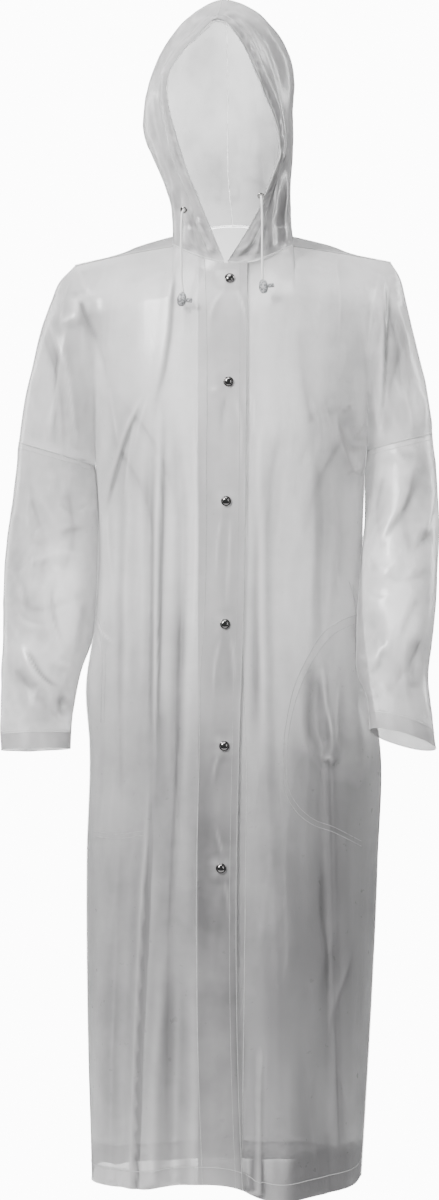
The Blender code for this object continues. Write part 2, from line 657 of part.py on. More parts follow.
# ---------------------------------------------------------------- the coat
def main():
    clear_scene()
    film = (0.80, 0.80, 0.80)
    film_of = lambda n, a=0.45: material(f"film_{n}", film, 0.25, 0.0, a)
    steel = lambda n: material(f"metal_{n}", (0.32, 0.31, 0.31), 0.18, 1.0)
    clear = lambda n: material(f"clear_{n}", (0.88, 0.89, 0.90), 0.06, 0.0, 0.5)
    white = lambda n: material(f"cord_{n}", (0.86, 0.85, 0.83), 0.55)

    _, fr, fr_arm = front(-1, "front_right", free_edge, film_of("front_right"))
    _, fl, fl_arm = front(1, "front_left", under_edge, film_of("front_left"), under=True)
    facing(-1, "facing_right", fr, film_of("facing_right"))
    facing(1, "facing_left", fl, film_of("facing_left"))
    pocket(-1, "pocket_right", fr, film_of("pocket_right"))
    pocket(1, "pocket_left", fl, film_of("pocket_left"))
    _, backs = back(film_of("back"))
    for side, name, arms in ((-1, "sleeve_right", fr_arm), (1, "sleeve_left", fl_arm)):
        sleeve(side, name, film_of(name), arms, backs[side][1])

    # snaps: caps outside, studs inside all the layers
    for k, z in enumerate(SNAP_Z, 1):
        x = SNAP_X[k - 1]
        p, n = form_point(x, z, 0.5)
        dome = [(0, SNAP_H), (3.0, SNAP_H * 0.88), (5.2, SNAP_H * 0.55), (SNAP_R, SNAP_H * 0.12),
                (SNAP_R - 0.4, 0), (0, 0)]
        turned(f"snap_cap_{k}", dome, p, n, steel(f"snap_{k}"))
        p, n = form_point(x, z, -(UNDER + LAYER + WALL + 1.4))
        disc = [(0, STUD_H), (STUD_R, 0.5), (STUD_R, 0), (0, 0)]
        turned(f"snap_stud_{k}", disc, p, -n, steel(f"stud_{k}"))

    g = hood({n: film_of(n) for n in ("hood_right", "hood_left")})
    casing(g, film_of("casing"), white("drawstring"))

    # free ends of the drawstring, their eyelets and clear stoppers
    for side, tag in ((-1, "right"), (1, "left")):
        route = np.array(CORD[side], float)
        out = route[1] - route[0]
        out /= np.linalg.norm(out)
        ring = [(EYELET_IN, 0.0), (EYELET_R - 0.6, 0.0), (EYELET_R, 0.5), (EYELET_R - 0.6, 1.2),
                (EYELET_IN + 0.6, 1.3), (EYELET_IN, 0.9), (EYELET_IN, 0.0)]
        turned(f"eyelet_{tag}", ring, route[0] - out * 1.9, out, steel(f"eyelet_{tag}"), ring=True)
        line = along(route, CORD_POINTS)
        tube(f"cord_{tag}", line, CORD_D / 2, white(f"cord_{tag}"))
        end, down = line[-1], line[-1] - line[-2]
        down /= np.linalg.norm(down)
        barrel = [(0, 0), (3.2, 0.4), (5.2, 3.5), (6.0, 8.5), (5.2, 13.5), (3.2, 17.0), (0, 17.6)]
        lean = np.array(STOPPER_LEAN[side], float)
        lean /= np.linalg.norm(lean)
        top = end + lean * 0.35
        turned(f"stopper_{tag}", barrel, top, lean, clear(f"stopper_{tag}"))
        b = np.array(BUTTON_OUT[side], float)
        b -= lean * b.dot(lean)
        b /= np.linalg.norm(b)
        button = [(0, 0), (2.6, 0), (2.9, 0.6), (2.9, 6.4), (2.2, 7.4), (0, 7.4)]
        turned(f"stopper_button_{tag}", button, top + lean * 9.0 + b * 6.4, b, clear(f"button_{tag}"))


main()
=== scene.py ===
"""Looks of the long hooded raincoat of clear film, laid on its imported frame.

Millimetres in the tables and functions, metres where a mesh is made.  The film
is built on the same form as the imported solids, from the same section tables,
but on much finer rows, with its creases, welds, hems and hardware.
"""
import json
import math

import bmesh
import bpy
import numpy as np
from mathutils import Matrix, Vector
from mathutils.bvhtree import BVHTree
from mathutils.kdtree import KDTree

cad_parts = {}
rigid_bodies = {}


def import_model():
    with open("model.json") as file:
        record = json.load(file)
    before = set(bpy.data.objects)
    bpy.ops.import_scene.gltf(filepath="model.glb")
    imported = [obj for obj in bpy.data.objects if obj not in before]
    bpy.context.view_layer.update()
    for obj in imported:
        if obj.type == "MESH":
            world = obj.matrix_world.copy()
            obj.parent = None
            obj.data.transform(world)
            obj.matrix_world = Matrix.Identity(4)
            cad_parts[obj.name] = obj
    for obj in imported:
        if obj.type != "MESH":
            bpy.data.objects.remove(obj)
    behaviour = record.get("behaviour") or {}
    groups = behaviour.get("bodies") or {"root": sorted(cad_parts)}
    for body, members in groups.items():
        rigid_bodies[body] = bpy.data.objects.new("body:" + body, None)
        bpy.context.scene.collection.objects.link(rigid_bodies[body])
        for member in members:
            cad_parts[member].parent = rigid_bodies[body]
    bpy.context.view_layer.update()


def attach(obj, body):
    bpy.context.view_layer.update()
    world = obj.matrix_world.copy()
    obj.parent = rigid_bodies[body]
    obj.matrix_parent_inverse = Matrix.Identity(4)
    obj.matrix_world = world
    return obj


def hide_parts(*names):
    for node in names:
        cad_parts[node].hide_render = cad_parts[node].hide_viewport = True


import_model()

# ---------------------------------------------------------------- the camera
VIEW = (-11.0, -4600.0, -474.5)            # where the coat is seen from, in mm
cam_data = bpy.data.cameras.new("camera")
cam_data.sensor_fit = "AUTO"
cam_data.sensor_width = 36.0
cam_data.lens = 36.0 / (2 * math.tan(math.atan(0.78 / 4.6)))
cam_data.clip_start, cam_data.clip_end = 0.1, 60.0
camera = bpy.data.objects.new("camera", cam_data)
camera.location = [c * 0.001 for c in VIEW]
camera.rotation_euler = (math.pi / 2, 0, 0)
bpy.context.scene.collection.objects.link(camera)
bpy.context.scene.camera = camera

FINE = 1.0
# ---------------------------------------------------------------- named sizes
WALL, GAP, SEAM, TOP_SEAM = 1.0, 0.3, 0.2, 0.55
HEM_Z, UNDER_EDGE = -1222.0, -38.0
COLS = int(108 * FINE) // 12 * 12
CORNER = COLS * 5 // 12
FACING_COLS = COLS // 6
ROWS, TOP_ROWS, ARM_COLS = int(310 * FINE), int(96 * FINE), int(54 * FINE)
RINGS, ARCH, HOOD_ROWS = int(150 * FINE), int(104 * FINE) * 2, int(116 * FINE)
LAYER = WALL + GAP
UNDER = 2 * LAYER + 0.7
NECK_GAP = 2.2
SNAP_R, SNAP_H = 6.6, 3.6
STUD_R, STUD_H = 5.6, 1.6
SNAP_X = (2.0, 0.4, -2.6, -3.9, -4.9, -9.0)
SNAP_Z = (-64.0, -198.0, -349.0, -505.0, -659.0, -813.0)
CASING = 22.0         # width of the drawstring casing
CORD_D = 3.0
ARMPIT_Z = {-1: -300.0, 1: -280.0}
SHOULDER_H = 75.0     # height over which the shoulders round over
NECK = dict(x=6.5, half=78.0, front=82.0, back=74.0, side_z=-15.0,
            front_drop=29.0, back_rise=33.0)

# body sections: height, left and right outline, depth forward and back
BODY = dict(
    z=(-1222, -1000, -812, -660, -590, -500, -422, -350, -310, -280, -200, -110, -40, 20),
    left=(-176, -182, -183, -179.5, -184, -171.8, -168.3, -168.6, -170.8, -172.5, -174, -176, -172, -150),
    right=(173, 186, 194, 196.5, 185, 174.5, 174, 175.8, 178, 180, 184, 188, 184, 160),
    front=(147, 143, 138, 132, 127, 117, 112, 114, 117, 119, 121, 108, 88, 66),
    back=(142, 136, 130, 122, 114, 104, 98, 98, 101, 104, 108, 108, 99, 84),
)
# upper arm of the body panels: height, outer and inner limit, half depth
ARM = {
    -1: dict(z=(-300, -270, -240, -188, -136, -84, -58, -40),
             outer=(-276, -272, -268, -259, -247, -230, -217, -199),
             inner=(-171.6, -169.5, -166, -158, -146, -130, -115, -100),
             deep=(50, 51, 52, 54, 56, 55, 53, 50)),
    1: dict(z=(-282, -262, -240, -188, -136, -84, -58, -36),
            outer=(269, 266, 264, 255, 242, 230, 224, 212),
            inner=(179.6, 176, 172, 160, 148, 134, 122, 110),
            deep=(50, 51, 52, 54, 56, 55, 53, 50)),
}
ARMHOLE_OUT = {-1: -270.0, 1: -259.0}     # height of the sleeve seam, outer side
TIP = {-1: (-199.0, -40.0), 1: (212.0, -36.0)}      # shoulder tips
GROOVE_TOP = {-1: -150.0, 1: 160.0}
# sleeve sections: height, inner and outer limit, middle, half depth, tilts
SLEEVE = {
    -1: dict(z=(-285, -345, -400, -450, -526, -560, -604, -640, -668),
             inner=(-172, -169.2, -167.4, -168.4, -177, -189.5, -199, -203, -204),
             outer=(-274, -281, -289, -293, -295, -296, -296, -296, -295),
             y=(0, 14, 24, 28, 26, 19, 8, 0, -6),
             deep=(50, 52, 53, 52, 48, 45, 42, 41, 41),
             rise=(30, 16, 6, 0, -2, -2, -2, -2, -2),
             tilt=(0, 0, 0, 0, 0, -2, -4, -6, -8)),
    1: dict(z=(-270, -345, -400, -450, -526, -579, -604, -630, -652),
            inner=(180, 178.4, 174.4, 170.6, 166.5, 168, 178, 180, 181),
            outer=(267, 272, 273, 269, 261, 257, 260, 262, 264),
            y=(0, -14, -32, -48, -68, -80, -85, -88, -89),
            deep=(50, 50, 50, 48, 46, 43, 42, 41, 41),
            rise=(22, 12, 4, 0, -4, -10, -15, -20, -24),
            tilt=(0, 0, 0, 0, -4, -10, -14, -17, -20)),
}
# hood sections, from the face edge back to the neck: each is an arch from the
# neck seam over the head; half widths are at fixed shares of its height
HOOD_SHARE = (0.22, 0.48, 0.78, 0.93)
HOOD = dict(
    angle=(9, 30, 62, 86, 100, 113, 126),           # where it meets the neck seam
    top_y=(-90, -72, -8, 64, 108, 112, 74),
    top_z=(266, 276, 305, 284, 205, 100, 10),
    top_x=(-14, -13, -5, -2, 0, 0, 6),
    bow_y=(8, 6, 0, 0, 0, 0, 0),                    # sides set back from the arch's plane
    low_l=(-33, -50, -78, -74, -68, -69, -71),
    low_r=(40, 55, 79, 79, 75, 78, 84),
    cheek_l=(-63, -80, -109, -99, -84, -74, -66),
    cheek_r=(66, 74, 84, 84, 80, 78, 79),
    temple_l=(-77, -84, -87, -76, -66, -58, -43),
    temple_r=(34, 50, 78, 74, 66, 62, 56),
    crown_l=(-40, -44, -49, -44, -38, -34, -20),
    crown_r=(12, 22, 46, 42, 38, 36, 33),
)
# free ends of the drawstring: from the eyelet, out over the hood and down the
# chest to the stopper, the way the stopper leans and where its button points
CORD_POINTS = 34
CORD = {
    -1: ((-57, -80, 23), (-58.5, -86, 20), (-59.5, -93, 6), (-59.8, -98, -18),
         (-59.5, -102, -46), (-58.5, -107, -76), (-57.5, -110, -84)),
    1: ((42, -88, 40), (42.4, -93, 36), (43, -99, 18), (43.2, -104, -10),
        (43.2, -108, -38), (43.4, -112, -60), (43.6, -113.5, -68)),
}
STOPPER_LEAN = {-1: (-0.15, -0.10, -1.0), 1: (0.12, -0.10, -1.0)}
BUTTON_OUT = {-1: (1.0, -0.3, -0.15), 1: (1.0, -0.3, -0.35)}
EYELET_R, EYELET_IN = 4.6, 1.9
# pocket bag: height and reach from its straight side at the side seam
POCKET = dict(
    z=(-785, -775, -764, -747, -731, -711, -685, -646, -606, -577, -550, -517, -497),
    reach=(10, 40, 62, 80, 91, 96, 98, 96, 90, 79, 62, 32, 8),
)
# the hem of the fronts is uneven: height at each x
HEM = dict(x=(-176, -120, -45, 15, 40, 112, 145, 173),
           z=(-1222, -1221, -1211, -1217, -1229, -1229, -1226, -1222))
# the largest folds: where each starts and ends across the coat, where it fades
# out upward, its half width and its depth (out of the form when positive)
FOLDS = dict(
    front=dict(top_x=(-74, -112, -146, 72, 116, 150), low_x=(-102, -134, -160, 76, 124, 158),
               top_z=(-480, -420, -430, -620, -420, -430), width=(20, 16, 14, 26, 16, 14),
               depth=(7, -9, 4, 9, -8, 4)),
    back=dict(top_x=(-120, -74, -20, 40, 92, 134), low_x=(-132, -80, -26, 44, 98, 140),
              top_z=(-420, -330, -560, -300, -460, -400), width=(20, 22, 20, 24, 20, 16),
              depth=(7, -8, 6, -8, 8, -6)),
)
# ---------------------------------------------------------------- small maths
def smooth(xs, ys, x):
    """A smooth curve through the rows of a table, flat past its ends."""
    xs, ys = np.asarray(xs, float), np.asarray(ys, float)
    if xs[0] > xs[-1]:
        xs, ys = xs[::-1], ys[::-1]
    x = np.clip(np.asarray(x, float), xs[0], xs[-1])
    d = np.diff(ys) / np.diff(xs)
    m = np.empty_like(ys)
    m[0], m[-1] = d[0], d[-1]
    h = np.diff(xs)
    m[1:-1] = (d[:-1] * h[1:] + d[1:] * h[:-1]) / (h[1:] + h[:-1])
    i = np.clip(np.searchsorted(xs, x, side="right") - 1, 0, len(xs) - 2)
    t = (x - xs[i]) / h[i]
    return (ys[i] * (2 * t**3 - 3 * t**2 + 1) + ys[i + 1] * (3 * t**2 - 2 * t**3)
            + m[i] * h[i] * (t**3 - 2 * t**2 + t) + m[i + 1] * h[i] * (t**3 - t**2))


def step(t):
    t = np.clip(t, 0.0, 1.0)
    return t * t * (3 - 2 * t)


def bump(t):
    return np.exp(-t * t * 2.0)


# ---------------------------------------------------------------- the one form
def body(name, z):
    return smooth(BODY["z"], BODY[name], z)


def arm(side, name, z):
    return smooth(ARM[side]["z"], ARM[side][name], z)


def neck(angle):
    """Neck seam at an angle in degrees from the front, positive to +X."""
    a = np.radians(angle)
    c = np.cos(a)
    deep = np.where(c > 0, NECK["front"], NECK["back"])
    x = NECK["x"] + NECK["half"] * np.sin(a)
    z = NECK["side_z"] + np.where(c > 0, -NECK["front_drop"] * c * c,
                                  NECK["back_rise"] * np.abs(c) ** 1.3 + rise(x, deep * np.abs(c), "back"))
    return np.stack([x, -deep * c, z], -1)


def top_depth(x, part):
    r = np.clip((x - NECK["x"]) / NECK["half"], -1, 1)
    return NECK[part] * np.sqrt(1 - r * r)


def top_height(x, part):
    """Height of the neck seam, then of the shoulder seam, above each x."""
    side = np.where(x < NECK["x"], -1, 1)
    r = (x - NECK["x"]) / NECK["half"]
    c2 = np.clip(1 - r * r, 0, 1)
    collar = NECK["side_z"] + (-NECK["front_drop"] * c2 if part == "front" else NECK["back_rise"] * c2 ** 0.65)
    out = np.clip(np.abs(r) - 1, 0, None) * NECK["half"]
    tip_x = np.where(side < 0, NECK["x"] - NECK["half"] - TIP[-1][0], TIP[1][0] - NECK["x"] - NECK["half"])
    tip_z = np.where(side < 0, TIP[-1][1], TIP[1][1])
    t = out / tip_x
    slope = NECK["side_z"] + (tip_z - NECK["side_z"]) * (0.78 * t + 0.22 * t * t)
    return np.where(c2 > 0, collar, slope)


def depth(x, z, part, side):
    """How far the form stands from the seam plane at (x, z)."""
    left, right = body("left", z), body("right", z)
    cx, a = (left + right) / 2, (right - left) / 2
    torso = body(part, z) * np.clip(1 - np.abs((x - cx) / a) ** 2.2, 0, 1) ** (1 / 2.2)
    high = z > ARMPIT_Z[side] - 0.01
    outer, inner = arm(side, "outer", z), arm(side, "inner", z)
    xa, wa = (outer + inner) / 2, np.abs(outer - inner) / 2
    limb = arm(side, "deep", z) * np.sqrt(np.clip(1 - ((x - xa) / wa) ** 2, 0, 1))
    both = (torso**5 + np.where(high, limb, 0) ** 5) ** 0.2
    ztop, dtop = top_height(x, part), top_depth(x, part)
    t = np.clip((ztop - z) / SHOULDER_H, 0, 1)
    g = 1 - (1 - t) ** 1.7 if part == "front" else np.sqrt(1 - (1 - t) ** 2)
    return dtop + (both - dtop) * g


def folds(x, z, part):
    """The largest folds, out of the form, at (x, z)."""
    f, out = FOLDS[part], 0.0
    for top_x, low_x, top_z, width, deep in zip(*(f[c] for c in ("top_x", "low_x", "top_z", "width", "depth"))):
        t = np.clip((top_z - z) / (top_z - HEM_Z), 0, 1)
        out = out + deep * step(t * 1.5) * bump((x - (top_x + (low_x - top_x) * t)) / width)
    edge = np.minimum(x - body("left", z), body("right", z) - x)
    return out * step(edge / 26.0)


def rise(x, d, part):
    """The back climbs a little behind the shoulder seam before it falls."""
    if part == "front":
        return 0.0
    out = np.abs(x - NECK["x"])
    lift = np.interp(out, (0, 44, 60, 78, 128, 200, 300), (0, 0, 11, 22, 17, 4, 0))
    s = np.clip(d / 84.0, 0, 1)
    return lift * 4 * s * (1 - s)


def panel_grid(side, part, start, cols, arm_cols, rows, top_rows):
    """Rows of (x, z) from the hem up, then over chest and upper arm.

    Returns the lower torso block, rows x cols, the upper torso block over chest and shoulder, and the arm block,
    top_rows x arm_cols, whose first column is the upper block's last."""
    s = np.linspace(0, 1, cols + 1)
    q = np.linspace(0, 1, arm_cols + 1)
    zap, zout = ARMPIT_Z[side], ARMHOLE_OUT[side]
    corner = CORNER / COLS
    xn = NECK["x"] + side * NECK["half"]
    low = []
    for v in np.linspace(0, 1, rows + 1)[:-1]:
        z_side = HEM_Z + (zap - HEM_Z) * v
        z = HEM_Z + (-290 + (zap + 290) * s - HEM_Z) * v
        edge = body("left" if side < 0 else "right", z_side)
        x0 = start(z)
        x = x0 + (edge - x0) * np.sin(s * np.pi / 2)
        if part == "front":
            z = z + (smooth(HEM["x"], HEM["z"], x) - HEM_Z) * (1 - v)
        low.append(np.stack([x, z], -1))
    high, limb = [], []
    for w in np.linspace(0, 1, top_rows + 1):
        h = 1 - (1 - w) ** 1.75
        zc = -290 + (top_height(np.array(start(np.array(-50.0))), part) + 290) * h
        x0 = start(np.asarray(zc, float))
        ap = body("left" if side < 0 else "right", zap)
        gx = ap + (GROOVE_TOP[side] - ap) * h
        fa = np.sin(s * np.pi / 2)
        r0 = np.clip((x0 - NECK["x"]) / NECK["half"] * side, -1, 1)
        th0 = math.asin(float(r0))
        th = th0 + (np.pi / 2 - th0) * np.clip(s / corner, 0, 1)
        xt = NECK["x"] + side * NECK["half"] * np.sin(th)
        xt = np.where(s > corner, xn + (GROOVE_TOP[side] - xn) * (s - corner) / (1 - corner), xt)
        fb = (xt - x0) / (GROOVE_TOP[side] - x0)
        f = fa + (fb - fa) * step(w)
        x = x0 + (gx - x0) * f
        base = -290 + (zap + 290) * s
        z = base + (top_height(x, part) - base) * h
        high.append(np.stack([x, z], -1))
        tip_x, tip_z = TIP[side]
        z_out = zout + (tip_z - zout) * h
        xo = arm(side, "outer", z_out) if w < 1 else tip_x
        k = (1 - np.cos(np.pi * q)) / 2
        x = gx + (xo - gx) * k
        base = zap + (zout - zap) * k
        z = base + (top_height(x, part) - base) * h
        z[-1] = z_out
        limb.append(np.stack([x, z], -1))
    return np.array(low), np.array(high), np.array(limb)


def place(xz, part, side, arm_block=False):
    """Rows of (x, z) put on the form, with its folds."""
    x, z = xz[..., 0], xz[..., 1]
    d = np.maximum(depth(x, z, part, side), SEAM)
    out = 0.0 if arm_block else folds(x, z, part)
    sign = -1 if part == "front" else 1
    return np.stack([x, sign * (d + out), z + rise(x, d, part)], -1)



# ---------------------------------------------------------------- noise
def lattice(x, y, z, seed):
    h = (x.astype(np.int64) * 374761393 + y.astype(np.int64) * 668265263
         + z.astype(np.int64) * 1440662683 + seed * 974634777) & 0xFFFFFFFF
    h = ((h ^ (h >> 13)) * 1274126177) & 0xFFFFFFFF
    h = ((h ^ (h >> 15)) * 2246822519) & 0xFFFFFFFF
    return ((h ^ (h >> 16)) & 0xFFFFF) / float(0xFFFFF)


def noise(p, seed=0):
    """Smooth noise from -1 to 1 at each row of p, with cells one unit wide."""
    p = np.asarray(p, float)
    i = np.floor(p)
    f = p - i
    f = f * f * f * (f * (f * 6 - 15) + 10)
    out = 0.0
    for dx in (0, 1):
        wx = f[:, 0] if dx else 1 - f[:, 0]
        for dy in (0, 1):
            wy = f[:, 1] if dy else 1 - f[:, 1]
            for dz in (0, 1):
                wz = f[:, 2] if dz else 1 - f[:, 2]
                out = out + wx * wy * wz * lattice(i[:, 0] + dx, i[:, 1] + dy, i[:, 2] + dz, seed)
    return out * 2 - 1


def creased(p, seed=0, sharp=0.12):
    """Noise with narrow crests, as a crumpled film has."""
    n = noise(p, seed)
    return 1 - 2 * np.sqrt(n * n + sharp * sharp)


# ---------------------------------------------------------------- the creases
def seen(p):
    """Points as they lie in the plane y = 0 for someone at VIEW."""
    k = -VIEW[1] / (p[:, 1] - VIEW[1])
    return np.stack([VIEW[0] + (p[:, 0] - VIEW[0]) * k, VIEW[2] + (p[:, 2] - VIEW[2]) * k], -1)


def curve_through(points, n=28):
    p = np.asarray(points, float)
    d = np.concatenate([[0], np.cumsum(np.linalg.norm(np.diff(p, axis=0), axis=1))])
    t = np.linspace(0, d[-1], n)
    if len(p) == 2:
        return np.stack([np.interp(t, d, p[:, c]) for c in range(2)], -1)
    return np.stack([smooth(d, p[:, c], t) for c in range(2)], -1)


def crease_field(q, rows):
    """Height of all the creases in rows at the plane points q.

    A row: kind, width, depth, fade at the start, fade at the end, then points.
    ridge  - a crest with soft flanks (a trough when the depth is negative)
    fold   - steep on the left of its line, a long slope on the right
    tuck   - a fold with a narrow groove before it"""
    out = np.zeros(len(q))
    for kind, width, deep, fade0, fade1, *points in rows:
        line = curve_through(points)
        reach = width * 4.5
        lo_, hi_ = line.min(0) - reach, line.max(0) + reach
        near = np.nonzero(((q >= lo_) & (q <= hi_)).all(1))[0]
        if not len(near):
            continue
        a = q[near]
        best = np.full(len(a), 1e9)
        side = np.zeros(len(a))
        t = np.zeros(len(a))
        seg = np.diff(line, axis=0)
        for k in range(len(seg)):
            e, w = seg[k], a - line[k]
            u = np.clip((w @ e) / max(e @ e, 1e-9), 0, 1)
            off = w - u[:, None] * e
            d = np.sqrt((off * off).sum(1))
            hit = d < best
            best[hit] = d[hit]
            cr = e[0] * w[:, 1] - e[1] * w[:, 0]
            side[hit] = np.sign(cr[hit])
            t[hit] = (k + u[hit]) / len(seg)
        ends = step(t / max(fade0, 1e-3)) * step((1 - t) / max(fade1, 1e-3))
        past = np.where((t <= 0) | (t >= 1), np.exp(-(best / width) ** 2), 1.0)
        s = best / width
        if kind == "ridge":
            e = 0.12
            h = (0.5 * np.exp(-s * s / 2.0) + 0.5 * np.exp(-(np.sqrt(s * s + e * e) - e) * 2.4)) * np.clip(1 - (s / 4.5) ** 2, 0, 1)
        elif kind == "soft":
            h = np.exp(-s * s)
        else:
            k = s * side
            h = np.where(k > 0, np.exp(-(k * 2.6) ** 2), np.exp(-(k / 1.25) ** 2 * 0.7))
            if kind == "tuck":
                h = h - 0.55 * np.exp(-((k - 0.55) / 0.28) ** 2)
        out[near] += deep * h * ends * past
    return out


